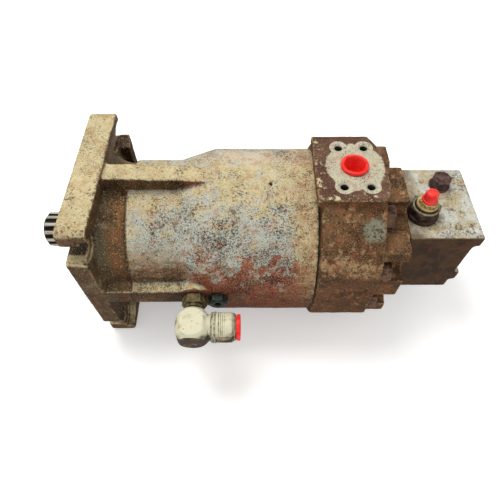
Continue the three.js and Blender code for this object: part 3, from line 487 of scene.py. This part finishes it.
def block_paint():
    paint = Finish("weathered_block_paint")
    x, y, z = paint.axes()
    up = paint.axes(paint.facing)[2]
    cloud = paint.speckle(24, detail=7, roughness=0.68, shift=2.0)
    # Pale on top and dark brown on the sides: partly dirt and partly painted shade on the faces that look
    # sideways.
    top = paint.step(up, 0.5, 0.9)
    pale = paint.blend(paint.step(cloud, 0.4, 0.56), tone(184, 170, 138), tone(204, 206, 196))
    dark = paint.blend(paint.step(cloud, 0.4, 0.62), tone(58, 40, 26), tone(84, 62, 38))
    colour = paint.blend(top, dark, pale)
    red = paint.step(paint.speckle(12, detail=8, roughness=0.72, shift=4.4), 0.55, 0.64)
    share = paint.sum(0.8, paint.times(top, 0.5), "SUBTRACT")
    colour = paint.blend(paint.times(red, share), colour, tone(116, 54, 38))
    smudge = paint.step(paint.speckle(12, detail=8, roughness=0.74, shift=6.2), 0.54, 0.63)
    colour = paint.blend(paint.times(smudge, 0.75), colour, tone(98, 76, 48))
    beside_cap = paint.between(x, 366, 388, 7)
    blotch = paint.step(cloud, 0.36, 0.55)
    colour = paint.blend(paint.times(paint.times(beside_cap, blotch), 0.75), colour, BROWN)
    rim = paint.times(paint.step(paint.size_of(y), 0.044, 0.052), paint.step(cloud, 0.45, 0.6))
    colour = paint.blend(paint.times(rim, 0.6), colour, BROWN)
    colour = paint.blend(paint.times(paint.edges(0.515, 0.56), 0.5), colour, tone(150, 130, 92))
    colour = paint.blend(paint.times(paint.edges(0.488, 0.45), 0.8), colour, PIT)
    colour, coarse = pitting(paint, colour, 3.4, 0.36, 34, tone(98, 70, 44), amount=0.8)
    colour, fine = pitting(paint, colour, 1.3, 0.385, 26, PIT, shift=2.2, swing=0.3, amount=0.85)
    colour, _ = pitting(paint, colour, 0.9, 0.42, 40, DEEP_BROWN, shift=3.7, swing=0.3, amount=0.6)
    paint.colour(with_painted_shade(paint, colour, least=0.55))
    paint.rough(cloud, 0.6, 0.9)
    cast_relief(paint, paint.most(coarse, fine))
    return paint.material


def worn_metal(name, dark, light, patch=8, metallic=0.0, rough=(0.45, 0.8), pits=0.36, relief=0.15):
    """Stained metal: two colours in clouds, dark pits, and lighter worn edges."""
    paint = Finish(name)
    cloud = paint.step(paint.speckle(patch, detail=6, roughness=0.62), 0.36, 0.64)
    colour = paint.blend(cloud, dark, light)
    worn = paint.edges(0.52, 0.6)
    colour = paint.blend(paint.times(worn, 0.5), colour, light)
    colour, spots = pitting(paint, colour, 2.4, pits, 16)
    paint.colour(colour)
    paint.shader.inputs["Metallic"].default_value = metallic
    paint.rough(cloud, *rough)
    paint.raised(paint.speckle(1.2, detail=4, roughness=0.6), relief, 0.6)
    paint.raised(paint.sum(1.0, spots, "SUBTRACT"), relief, 0.6)
    return paint.material


def zinc_plate():
    """Chalky zinc on the elbow: pale on top and dark brown underneath, partly brown stain and partly painted
    light and shade.
    """
    paint = Finish("chalky_zinc")
    up = paint.axes(paint.facing)[2]
    cloud = paint.speckle(13, detail=6, roughness=0.62)
    facing_and_cloud = paint.sum(up, paint.times(paint.sum(cloud, 0.5, "SUBTRACT"), 1.3))
    lit = paint.step(facing_and_cloud, 0.15, 0.7)
    # Painted light and shade, partly stain: pale where the face looks up, dark brown where it looks sideways
    # or down.
    colour = paint.blend(lit, tone(62, 48, 28), tone(206, 203, 176))
    stain = paint.step(paint.speckle(9, detail=6, roughness=0.66, shift=3.3), 0.55, 0.66)
    colour = paint.blend(paint.times(stain, 0.6), colour, tone(170, 134, 88))
    colour, spots = pitting(paint, colour, 2.2, 0.35, 14, DEEP_BROWN)
    paint.colour(with_painted_shade(paint, colour))
    paint.shader.inputs["Metallic"].default_value = 0.1
    paint.rough(cloud, 0.45, 0.75)
    paint.raised(paint.speckle(1.5, detail=4), 0.15, 0.6)
    paint.raised(paint.sum(1.0, spots, "SUBTRACT"), 0.25, 0.6)
    return paint.material


def turned_steel(name, dark, light):
    """Ground or turned steel with fine lines round the shaft's axis, and faint oil stains."""
    paint = Finish(name)
    rings = paint.speckle(0.6, detail=3, stretch=(1, 0.06, 0.06))
    colour = paint.blend(paint.step(rings, 0.3, 0.7), dark, light)
    oil = paint.step(paint.speckle(14, detail=4, shift=1.9), 0.5, 0.7)
    colour = paint.blend(paint.times(oil, 0.35), colour, tone(120, 104, 78))
    paint.colour(colour)
    paint.shader.inputs["Metallic"].default_value = 0.9
    paint.rough(rings, 0.22, 0.4)
    paint.raised(rings, 0.03, 0.4)
    return paint.material


def tapped_steel():
    """Threads in the pads' holes: bright at the mouth and near black further in, painted shade deep in the
    hole.
    """
    paint = Finish("tapped_steel")
    height = paint.size_of(paint.axes()[2])
    mouth = paint.step(height, 0.1088, 0.1112)
    crumbs = paint.speckle(1.5, detail=4)
    dark = paint.blend(crumbs, tone(14, 12, 10), tone(44, 38, 32))
    bright = paint.blend(crumbs, tone(120, 116, 100), tone(214, 212, 200))
    paint.colour(paint.blend(mouth, dark, bright))
    paint.shader.inputs["Metallic"].default_value = 0.3
    paint.rough(crumbs, 0.35, 0.7)
    paint.raised(crumbs, 0.05, 0.5)
    return paint.material


def spline_steel():
    """Bright worn tooth tops with black grease between the teeth."""
    paint = Finish("spline_steel")
    x, y, z = paint.axes()
    radius = paint.distance(y, z)
    crest = paint.step(radius, 0.0208, 0.0219)
    outside = paint.step(x, -0.014, -0.016)
    grain = paint.speckle(2.5, detail=6, roughness=0.7, stretch=(0.3, 1, 1))
    bright = paint.blend(grain, tone(120, 114, 98), tone(216, 212, 200))
    bright = paint.blend(paint.times(paint.step(grain, 0.58, 0.66), 0.7), bright, tone(96, 70, 44))
    grease = paint.blend(grain, tone(12, 10, 8), tone(40, 32, 24))
    teeth = paint.blend(crest, grease, bright)
    plain = paint.blend(grain, tone(128, 126, 120), tone(188, 188, 186))
    paint.colour(paint.blend(outside, plain, teeth))
    paint.shader.inputs["Metallic"].default_value = 0.55
    paint.rough(grain, 0.3, 0.6)
    paint.raised(grain, 0.08, 0.5)
    return paint.material


def red_moulding():
    """Moulded red plastic, a little chalky and dusty."""
    paint = Finish("red_moulding")
    haze = paint.speckle(7, detail=4, roughness=0.6)
    colour = paint.blend(paint.step(haze, 0.35, 0.7), tone(226, 38, 34), tone(240, 70, 62))
    dust = paint.step(paint.speckle(3, detail=5, roughness=0.7, shift=2.1), 0.62, 0.72)
    colour = paint.blend(paint.times(dust, 0.35), colour, tone(176, 96, 76))
    paint.colour(colour)
    paint.rough(haze, 0.32, 0.52)
    paint.raised(paint.speckle(0.8, detail=3), 0.05, 0.5)
    return paint.material


def dark_rubber(name, base, dusty):
    """Rubber or gasket paper with a dusty haze."""
    paint = Finish(name)
    haze = paint.speckle(5, detail=5, roughness=0.65)
    paint.colour(paint.blend(paint.step(haze, 0.45, 0.7), base, dusty))
    paint.rough(haze, 0.6, 0.9)
    paint.raised(paint.speckle(0.7, detail=3), 0.06, 0.5)
    return paint.material


MATERIALS = {
    "weathered_housing": housing_paint(),
    "weathered_cap": cap_paint(),
    "weathered_block": block_paint(),
    "machined_steel": worn_metal(
        "bright_spline", tone(120, 112, 96), tone(214, 210, 198), 5, 0.75, (0.25, 0.5), 0.33),
    "bearing_steel": turned_steel("bearing_steel", tone(150, 152, 156), tone(206, 208, 212)),
    "inner_steel": turned_steel("inner_steel", tone(120, 120, 122), tone(184, 186, 188)),
    "dark_steel": worn_metal("rusted_steel", tone(56, 40, 32), tone(124, 96, 78), 7, 0.35, (0.4, 0.8)),
    "zinc_plated": zinc_plate(),
    "bronze": worn_metal(
        "oiled_bronze", tone(150, 108, 56), tone(196, 154, 92), 10, 0.85, (0.28, 0.45), 0.3, 0.05),
    "seal_rubber": dark_rubber("seal_rubber", tone(26, 25, 24), tone(58, 52, 46)),
    "red_plastic": red_moulding(),
    "gasket": dark_rubber("gasket_paper", tone(52, 46, 36), tone(88, 74, 54)),
}
TAP_STEEL = tapped_steel()
SPLINE_STEEL = spline_steel()
OLIVE_STEEL = worn_metal(
    "olive_brown_steel", tone(54, 44, 26), tone(118, 106, 72), 6, 0.2, (0.45, 0.8), 0.37)
HEX_STEEL = worn_metal(
    "plum_brown_steel", tone(62, 40, 36), tone(104, 82, 78), 6, 0.2, (0.4, 0.75), 0.36)
LEG_ZINC = worn_metal(
    "stained_zinc_thread", tone(92, 82, 56), tone(178, 176, 154), 4, 0.3, (0.35, 0.65), 0.42)
CARTRIDGE_STEEL = worn_metal(
    "sooty_steel", tone(36, 26, 20), tone(78, 60, 50), 6, 0.3, (0.35, 0.7), 0.34)
YELLOW_ZINC = worn_metal(
    "yellow_zinc", tone(120, 92, 46), tone(206, 186, 132), 4, 0.5, (0.3, 0.6), 0.34)
RING_STEEL = worn_metal(
    "worn_crown_ring", tone(52, 44, 34), tone(156, 150, 120), 3, 0.4, (0.3, 0.6), 0.36)
# Near black: partly the plug's own teal-black and partly painted shade from the elbow beside it.
PLUG_TEAL = worn_metal(
    "teal_black_plug", tone(24, 30, 28), tone(58, 66, 60), 5, 0.3, (0.35, 0.7), 0.34)


# ---------------------------------------------------------------- mesh building


def settle(name, mesh, body, material, nodes=()):
    """Makes a piece from a mesh: rides it on a body, replaces CAD nodes and finishes its surface."""
    mesh.materials.clear()
    mesh.materials.append(material)
    mesh.shade_smooth()
    mesh.set_sharp_from_angle(angle=math.radians(32))
    piece = bpy.data.objects.new(name, mesh)
    bpy.context.collection.objects.link(piece)
    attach(piece, body)
    if nodes:
        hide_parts(*nodes)
    return piece


def along(axis, place):
    """Takes a shape built up +Z at the origin to a place in mm, pointing along axis."""
    turn = Vector(axis).to_track_quat("Z", "Y").to_matrix().to_4x4()
    return Matrix.Translation(Vector(place) * MM) @ turn


def rings_mesh(name, levels, around=72, matrix=Matrix(), closed=False):
    """A closed body of rings about Z. levels holds (height, radius) or (height, radius, shape), in mm.

    A shape takes the angle, radius and height and returns the radius there. A closed body joins its
    last ring to its first, as in a washer.
    """
    points = []
    rows = []
    for level in levels:
        height, radius = level[0], level[1]
        shape = level[2] if len(level) > 2 else None
        if radius < 1e-6:
            rows.append([len(points)])
            points.append((0, 0, height * MM))
            continue
        rows.append(list(range(len(points), len(points) + around)))
        for step in range(around):
            angle = TURN * step / around
            reach = shape(angle, radius, height) if shape else radius
            points.append((reach * MM * math.cos(angle), reach * MM * math.sin(angle), height * MM))
    faces = []
    pairs = list(zip(rows, rows[1:])) + ([(rows[-1], rows[0])] if closed else [])
    for low, high in pairs:
        for step in range(around):
            after = (step + 1) % around
            if len(low) == 1 and len(high) == 1:
                break
            if len(low) == 1:
                faces.append((low[0], high[after], high[step]))
            elif len(high) == 1:
                faces.append((low[step], low[after], high[0]))
            else:
                faces.append((low[step], low[after], high[after], high[step]))
    if not closed:
        if len(rows[0]) > 1:
            faces.append(tuple(reversed(rows[0])))
        if len(rows[-1]) > 1:
            faces.append(tuple(rows[-1]))
    mesh = bpy.data.meshes.new(name)
    mesh.from_pydata(points, [], faces)
    mesh.transform(matrix)
    if matrix.determinant() < 0:
        mesh.flip_normals()
    mesh.update()
    return mesh


def flats(across):
    """Six flats, as a shape: the ring is cut back to a hexagon that wide across its flats."""
    return lambda angle, radius, height: min(radius, across / 2 / math.cos(angle % (TURN / 6) - TURN / 12))


def thread(pitch, depth):
    """A helical thread, as a shape."""

    def shape(angle, radius, height):
        phase = (height / pitch - angle / TURN) % 1
        return radius - depth * abs(2 * phase - 1) ** 1.3

    return shape


def threaded(low, high, radius, pitch, depth, per_turn=6):
    """Levels of a threaded stretch."""
    count = max(2, round((high - low) / pitch * per_turn))
    rise = (high - low) / count
    return [(low + rise * step, radius, thread(pitch, depth)) for step in range(count + 1)]


def hexagon(low, high, across, chamfer_low=False):
    """Levels of a hexagon whose corners are chamfered at the top, and at the bottom if asked."""
    corner = across / math.sqrt(3)
    face = across / 2 * 0.97
    drop = (corner - face) * 0.55
    count = 5
    upper = [(high - drop * (1 - s / count), corner - (corner - face) * s / count) for s in range(count + 1)]
    lower = [(low, corner)]
    if chamfer_low:
        lower = [(low + high - h, r) for h, r in reversed(upper)]
    return [(h, r, flats(across)) for h, r in lower + upper]


def softened(profile, reach=0.5):
    """A profile of (height, radius) with each corner rounded over reach mm."""
    result = [profile[0]]
    for before, here, after in zip(profile, profile[1:], profile[2:]):
        corner = Vector(here)
        back, ahead = Vector(before) - corner, Vector(after) - corner
        take = min(reach, back.length * 0.4, ahead.length * 0.4)
        if take < 0.02:
            result.append(here)
            continue
        first, last = corner + back.normalized() * take, corner + ahead.normalized() * take
        middle = (first + last) / 4 + corner / 2
        result += [tuple(first), tuple(middle), tuple(last)]
    return result + [profile[-1]]


def joined(name, meshes):
    """One mesh holding several closed bodies."""
    points, faces = [], []
    for mesh in meshes:
        start = len(points)
        points += [tuple(v.co) for v in mesh.vertices]
        faces += [tuple(start + i for i in polygon.vertices) for polygon in mesh.polygons]
    result = bpy.data.meshes.new(name)
    result.from_pydata(points, [], faces)
    result.update()
    return result


# ---------------------------------------------------------------- castings


def applied(node, add_modifiers):
    """A copy of a CAD node's mesh with modifiers applied to it."""
    copy = bpy.data.objects.new(node + "_copy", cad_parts[node].data.copy())
    bpy.context.collection.objects.link(copy)
    add_modifiers(copy)
    shaped = bpy.data.meshes.new_from_object(copy.evaluated_get(bpy.context.evaluated_depsgraph_get()))
    bpy.data.objects.remove(copy)
    return shaped


def remeshed(node, voxel, smooth):
    """A CAD node's mesh in even facets of voxel mm, with its edges rounded."""

    def add_modifiers(copy):
        remesh = copy.modifiers.new("voxels", "REMESH")
        remesh.mode = "VOXEL"
        remesh.voxel_size = voxel * MM
        relax = copy.modifiers.new("relax", "SMOOTH")
        relax.factor = 0.5
        relax.iterations = smooth

    return applied(node, add_modifiers)


def casting(node, slot, voxel, dent, lump):
    """A CAD casting with rounded edges and an uneven skin: remeshed, smoothed and dented."""
    shaped = remeshed(node, voxel, 6)
    normals = [v.normal.copy() for v in shaped.vertices]
    for vertex, normal in zip(shaped.vertices, normals):
        place = vertex.co
        wide = noise.fractal(place / (lump * MM), 1.0, 2.0, 3)
        fine = noise.fractal(place / (4.5 * MM) + Vector((7, 3, 5)), 0.9, 2.1, 3)
        pit = max(0.0, noise.noise(place / (3.2 * MM)) - 0.32)
        vertex.co += normal * MM * dent * (0.5 * wide + 0.35 * fine - 1.3 * pit)
    shaped.update()
    settle(node + "_casting", shaped, "casing", MATERIALS[slot], [node])
    shaped.shade_smooth()


casting("housing", "weathered_housing", voxel=1.6, dent=0.55, lump=40)
casting("end_cap", "weathered_cap", voxel=1.5, dent=0.6, lump=30)
casting("valve_block", "weathered_block", voxel=1.4, dent=0.4, lump=30)


# ---------------------------------------------------------------- fasteners on the end cap

HEX_BOLT_ACROSS = 24
CAP_SCREW_SOCKET = 8

for number in range(1, 9):
    node = f"end_cap_bolt_{number}"
    low, high = corners(node)
    head = high.x - 11.5
    place = along((1, 0, 0), (0, centre(node).y, centre(node).z))
    shank = [(low.x, 0), (low.x, 6.8)] + threaded(low.x + 0.5, low.x + 22, 7.9, 2, 1.2)
    levels = shank + [(low.x + 23, 7.8), (head - 1.5, 7.8), (head - 1.5, 8.6)]
    levels += [(head, 8.6)] + hexagon(head, high.x - 0.2, HEX_BOLT_ACROSS) + [
        (high.x - 0.2, 10.6), (high.x - 0.9, 9.9), (high.x - 0.9, 0)]
    bolt = rings_mesh(node + "_bolt", levels, 72, place)
    ring = [
        (head - 1.6, 8.9), (head - 1.6, 13.6), (head - 1.3, 14), (head - 0.4, 14), (head - 0.1, 13.6),
        (head - 0.1, 8.9)]
    washer = rings_mesh(node + "_washer", ring, 72, place, closed=True)
    settle(node + "_bolt", bolt, "casing", MATERIALS["dark_steel"], [node])
    settle(node + "_washer", washer, "casing", MATERIALS["dark_steel"])


def socket(across):
    """A hexagonal hole, as a shape."""
    return lambda angle, radius, height: across / 2 / math.cos(angle % (TURN / 6) - TURN / 12)


for number in range(1, 5):
    node = f"valve_block_screw_{number}"
    low, high = corners(node)
    place = along((1, 0, 0), (0, centre(node).y, centre(node).z))
    top = high.x
    levels = [(low.x, 0), (low.x, 4.2)] + threaded(low.x + 0.5, low.x + 20, 4.9, 1.5, 0.8)
    levels += [(low.x + 21, 4.9), (top - 10, 4.9)]
    levels += [(top - 10, 8), (top - 0.8, 8), (top, 7.3), (top, 5.2), (top - 0.4, 4.9)]
    hole = socket(CAP_SCREW_SOCKET)
    levels += [(top - 0.6, 4.6, hole), (top - 5, 4.6, hole), (top - 5.2, 0)]
    screw = rings_mesh(node + "_cap_screw", levels, 72, place)
    settle(node + "_cap_screw", screw, "casing", MATERIALS["dark_steel"], [node])


# ---------------------------------------------------------------- valve block fittings

RELIEF_HEX_ACROSS = 31
GAUGE_HEX_ACROSS = 17
SHUTTLE_HEX_ACROSS = 20.6

relief = centre("relief_cartridge")
cartridge_low, cartridge_high = corners("relief_cartridge")
block_top = corners("valve_block")[1].z
seat = block_top + 0.3
up_here = along((0, 0, 1), (relief.x, relief.y, 0))

levels = [(cartridge_low.z, 9.2), (cartridge_low.z, 13.7), (seat - 2, 13.7), (seat - 1, 12.5), (seat, 12.5)]
levels += softened([
    (seat, 12.5), (seat, 17.8), (seat + 4.2, 17.8), (seat + 5.6, 16.8), (seat + 5.6, 15.4)], 0.6)[1:]
levels += hexagon(seat + 5.6, seat + 15.6, RELIEF_HEX_ACROSS, True)
levels += softened([
    (seat + 15.7, 14.2), (seat + 15.2, 13.4), (seat + 15.2, 12.9), (seat + 18.4, 12.9),
    (seat + 19, 12.2), (seat + 19, 4.2), (seat + 17, 4.0)], 0.3)
levels += [(50, 4.0), (50, 9.0), (cartridge_low.z + 0.6, 9.0)]
settle("relief_cartridge_body", rings_mesh("relief_cartridge_body", levels, 96, up_here, closed=True),
       "casing", CARTRIDGE_STEEL, ["relief_cartridge"])

crown = [
    (seat + 15.3, 13.2), (seat + 15.3, 14.9), (seat + 15.7, 15.2), (seat + 16.4, 15.0), (seat + 16.6, 13.2)]
settle("relief_cartridge_ring", rings_mesh("relief_cartridge_ring", crown, 96, up_here, closed=True),
       "casing", RING_STEEL)
washer = [
    (seat + 19.1, 9.7), (seat + 19.1, 11.9), (seat + 19.6, 12.1), (seat + 20.2, 11.8), (seat + 20.3, 9.7)]
settle("gauge_fitting_washer", rings_mesh("gauge_fitting_washer", washer, 96, up_here, closed=True),
       "casing", YELLOW_ZINC)

tail = corners("gauge_fitting")[0].z
base = cartridge_high.z + 0.3
levels = [
    (tail, 2.1), (tail, 3.5), (base, 3.5), (base, 9.2), (base + 0.4, 9.5), (base + 1.6, 9.5),
    (base + 2, 9.1)]
levels += hexagon(base + 2, base + 6, GAUGE_HEX_ACROSS)
levels += [(base + 6, 6)] + threaded(base + 6.4, base + 14, 5.6, 1.4, 0.6)
levels += [(base + 15.6, 5.0), (base + 15.6, 2.1)]
settle("gauge_fitting_body", rings_mesh("gauge_fitting_body", levels, 72, up_here, closed=True),
       "casing", YELLOW_ZINC, ["gauge_fitting"])

rise = corners("gauge_cap")[0].z
levels = softened([
    (rise, 6.15), (rise, 8.6), (rise + 2.1, 8.6), (rise + 2.5, 7.7), (rise + 3.2, 7.3), (rise + 9.3, 7.1),
    (rise + 12, 6.1), (rise + 13.3, 3.6), (rise + 13.6, 0)], 0.5)
levels += [(rise + 10.4, 0), (rise + 10.4, 5.9)]
cap_mesh = rings_mesh("gauge_cap_cup", levels, 72, up_here, closed=True)
settle("gauge_cap_cup", cap_mesh, "gauge_cap_body", MATERIALS["red_plastic"], ["gauge_cap"])

plug = centre("shuttle_plug")
plug_low, plug_high = corners("shuttle_plug")
levels = [(plug_low.z, 0), (plug_low.z, 7.4)] + threaded(plug_low.z + 0.8, plug_low.z + 12, 8.6, 1.5, 0.9)
levels += [(seat - 1, 8.2), (seat, 8.2)]
levels += softened([(seat, 8.2), (seat, 12.4), (seat + 1.7, 12.4), (seat + 1.7, 11.4)], 0.3)[1:]
levels += hexagon(seat + 1.7, plug_high.z, SHUTTLE_HEX_ACROSS)
levels += [(plug_high.z, 6.4), (plug_high.z - 0.5, 5.6), (plug_high.z - 0.5, 0)]
place = along((0, 0, 1), (plug.x, plug.y, 0))
settle("shuttle_plug_body", rings_mesh("shuttle_plug_body", levels, 72, place),
       "casing", HEX_STEEL, ["shuttle_plug"])


# ---------------------------------------------------------------- port plug and port threads

port = centre("port_plug")
port_low, port_high = corners("port_plug")
pad = corners("end_cap")[1].z
lip = pad + 0.3
levels = softened([
    (port_low.z, 0), (port_low.z, 11.2), (lip, 12.0), (lip, 14.9), (port_high.z - 0.5, 14.9),
    (port_high.z, 14.2), (port_high.z, 11.7), (lip, 11.0), (port_low.z + 2.2, 10.1),
    (port_low.z + 2.2, 0)], 0.5)
up_port = along((0, 0, 1), (port.x, port.y, 0))
settle("port_plug_cup", rings_mesh("port_plug_cup", levels, 96, up_port, closed=True),
       "port_plug_body", MATERIALS["red_plastic"], ["port_plug"])

TAP_RADIUS = 5.2
THREAD_DEPTH = 15
crest = threaded(pad - THREAD_DEPTH, pad - 1.2, TAP_RADIUS - 0.2, 1.75, 0.9)
outer = [(pad - 1.0, TAP_RADIUS + 0.3), (pad - THREAD_DEPTH, TAP_RADIUS + 0.3)]
sleeves = []
for side in (1, -1):
    for x_side in (-0.5, 0.5):
        for y_side in (-0.5, 0.5):
            place = along((0, 0, side), (port.x + x_side * TAP_SPACING[0], y_side * TAP_SPACING[1], 0))
            sleeves.append(rings_mesh("sleeve", crest + outer, 48, place, closed=True))
settle("port_tap_threads", joined("port_tap_threads", sleeves), "casing", TAP_STEEL)


# ---------------------------------------------------------------- case drain: adapter, elbow and plugs

DRAIN_HEX_ACROSS = 25.4
CASE_PLUG_HEX_ACROSS = 19
CASE_PLUG_SOCKET = 7

drain = centre("drain_adapter")
boss = 98.8                     # just off the boss's face, from the shaft's axis
out = along((0, -1, 0), (drain.x, 0, 0))
levels = [(84, 6.6), (84, 9.2)] + threaded(85, 96, 10, 1.5, 0.9) + [(boss, 9.2)]
levels += hexagon(boss, boss + 11.3, DRAIN_HEX_ACROSS, True)
levels += [(boss + 11.3, 10.6), (boss + 14.5, 10.6), (boss + 14.6, 8.9), (128, 8.9), (128, 6.6)]
settle("drain_adapter_nut", rings_mesh("drain_adapter_nut", levels, 72, out, closed=True),
       "casing", OLIVE_STEEL, ["drain_adapter"])

case_plug = centre("case_port_plug")
levels = [(88, 0), (88, 7)] + threaded(88.6, 97.5, 8, 1.5, 0.8)
levels += softened([(boss, 7.5), (boss, 10.8), (boss + 1.6, 10.8), (boss + 1.6, 10.2)], 0.3)
levels += hexagon(boss + 1.6, boss + 8.4, CASE_PLUG_HEX_ACROSS)
hole = socket(CASE_PLUG_SOCKET)
levels += [(boss + 8.4, 4.6), (boss + 7.8, 4.2, hole), (boss + 4, 4.2, hole), (boss + 3.8, 0)]
place = along((0, -1, 0), (case_plug.x, 0, 0))
settle("case_port_plug_body", rings_mesh("case_port_plug_body", levels, 72, place),
       "casing", PLUG_TEAL, ["case_port_plug"])


BODY_REACH = 23.6 * MM          # how far the elbow's round body reaches from its middle
elbow_middle_y = centre("drain_elbow").y


def elbow_forging():
    """The CAD elbow remeshed and its corners drawn in, so that the forging is round."""
    middle = Vector((drain.x, elbow_middle_y, 0)) * MM
    shaped = remeshed("drain_elbow", 0.7, 8)
    normals = [v.normal.copy() for v in shaped.vertices]
    for vertex, normal in zip(shaped.vertices, normals):
        place = vertex.co
        wide = noise.fractal(place / (14 * MM), 1.0, 2.0, 3)
        vertex.co += normal * MM * 0.3 * wide
        reach = vertex.co - middle
        if vertex.co.x < middle.x + 19 * MM and reach.length > BODY_REACH:
            vertex.co = middle + reach * BODY_REACH / reach.length
    shaped.update()
    return shaped


elbow = elbow_forging()
settle("drain_elbow_forging", elbow, "casing", MATERIALS["zinc_plated"], ["drain_elbow"])
elbow.shade_smooth()

leg_axis = along((1, 0, 0), (0, centre("elbow_plug").y, 0))
leg_end = corners("drain_elbow")[1].x
start = leg_end - 27.6
levels = softened([
    (start, 13.6), (start, 15.4), (start + 0.8, 17.1), (start + 2.6, 17.3), (start + 3.1, 16.2),
    (start + 3.6, 17.4), (start + 5.6, 17.4), (start + 6.1, 15.6), (start + 7.2, 15.4)], 0.3)
winding = threaded(start + 7.4, leg_end - 2.0, 17.0, 2.1, 1.2, 8)
levels += [(h, r - 1.1 * step / len(winding), s) for step, (h, r, s) in enumerate(winding)]
levels += [(leg_end - 1.0, 14.8), (leg_end - 0.6, 14.2), (leg_end - 0.6, 13.6)]
settle("drain_elbow_thread", rings_mesh("drain_elbow_thread", levels, 96, leg_axis, closed=True),
       "casing", LEG_ZINC)

plug_low, plug_high = corners("elbow_plug")
start = leg_end + 0.3
levels = softened([
    (plug_low.x, 0), (plug_low.x, 9.6), (start, 10.0), (start, 14.3), (plug_high.x - 0.4, 14.6),
    (plug_high.x, 14.0), (plug_high.x, 9.8), (plug_low.x + 2, 8.4), (plug_low.x + 2, 0)], 0.5)
settle("elbow_plug_cup", rings_mesh("elbow_plug_cup", levels, 96, leg_axis, closed=True),
       "elbow_plug_body", MATERIALS["red_plastic"], ["elbow_plug"])


# ---------------------------------------------------------------- drive shaft

SPLINE_TEETH = 13
SPLINE_ROOT_RADIUS = 18.8
SPLINE_TIP_RADIUS = 22.3


def splined(root, lean=0.18):
    """Spline teeth, as a shape: flats on top, sloped sides, and a root circle between."""

    def shape(angle, radius, height):
        phase = abs((angle * SPLINE_TEETH / TURN + 0.5) % 1 - 0.5) * 2
        share = min(1, max(0, (0.5 + lean - phase) / (2 * lean)))
        return root + (radius - root) * share if radius > root else radius

    return shape


def shaft_mesh():
    shaft_low, shaft_high = corners("drive_shaft")
    root, tip = SPLINE_ROOT_RADIUS, SPLINE_TIP_RADIUS
    tooth = splined(root)
    front = shaft_low.x
    levels = [(front + 6, 0), (front + 2.0, 3.2), (front, 4.2), (front, root - 0.6)]
    levels += [(front + 0.6, root - 0.1, tooth), (front + 3.2, tip, tooth)]
    levels += [(-19, tip, tooth), (-16, root + 0.2, tooth)]
    levels += softened([
        (-16, root), (-13, 18.6), (-11, 22.5), (3, 22.5), (3.0, 24.9), (33, 24.9), (36, 20), (214, 20),
        (214, 18.4), (256, 18.4), (258, 16), (shaft_high.x - 1.5, 16), (shaft_high.x, 14.5)], 0.5)
    levels += [(shaft_high.x, 0)]
    return rings_mesh("drive_shaft_splined", levels, SPLINE_TEETH * 16, along((1, 0, 0), (0, 0, 0)))


settle("drive_shaft_splined", shaft_mesh(), "rotor", SPLINE_STEEL, ["drive_shaft"])


# ---------------------------------------------------------------- relief spring


def round_wire(copy):
    copy.modifiers.new("round_wire", "SUBSURF").levels = 1


coil = settle("relief_spring_coil", applied("relief_spring", round_wire), "casing",
              MATERIALS["inner_steel"], ["relief_spring"])
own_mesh(coil)


# ---------------------------------------------------------------- the CAD nodes that stay

PISTONS = 9
KEPT = {
    "bearing_steel": ["front_bearing_outer", "front_bearing_inner", "front_bearing_rollers",
                      "rear_bearing_outer", "rear_bearing_rollers", "shuttle_spool", "relief_poppet"],
    "inner_steel": ["swashplate", "slipper_retainer", "ball_guide", "cylinder_block", "block_spring",
                    "bearing_snap_ring"],
    "bronze": ["valve_plate"],
    "seal_rubber": ["shaft_seal"],
    "gasket": ["end_cap_gasket"],
}
for number in range(1, PISTONS + 1):
    KEPT["inner_steel"].append(f"piston_{number}")
    KEPT["bronze"].append(f"slipper_{number}")
for slot, nodes in KEPT.items():
    for node in nodes:
        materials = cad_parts[node].data.materials
        materials.clear()
        materials.append(MATERIALS[slot])

add_camera()
add_studio()
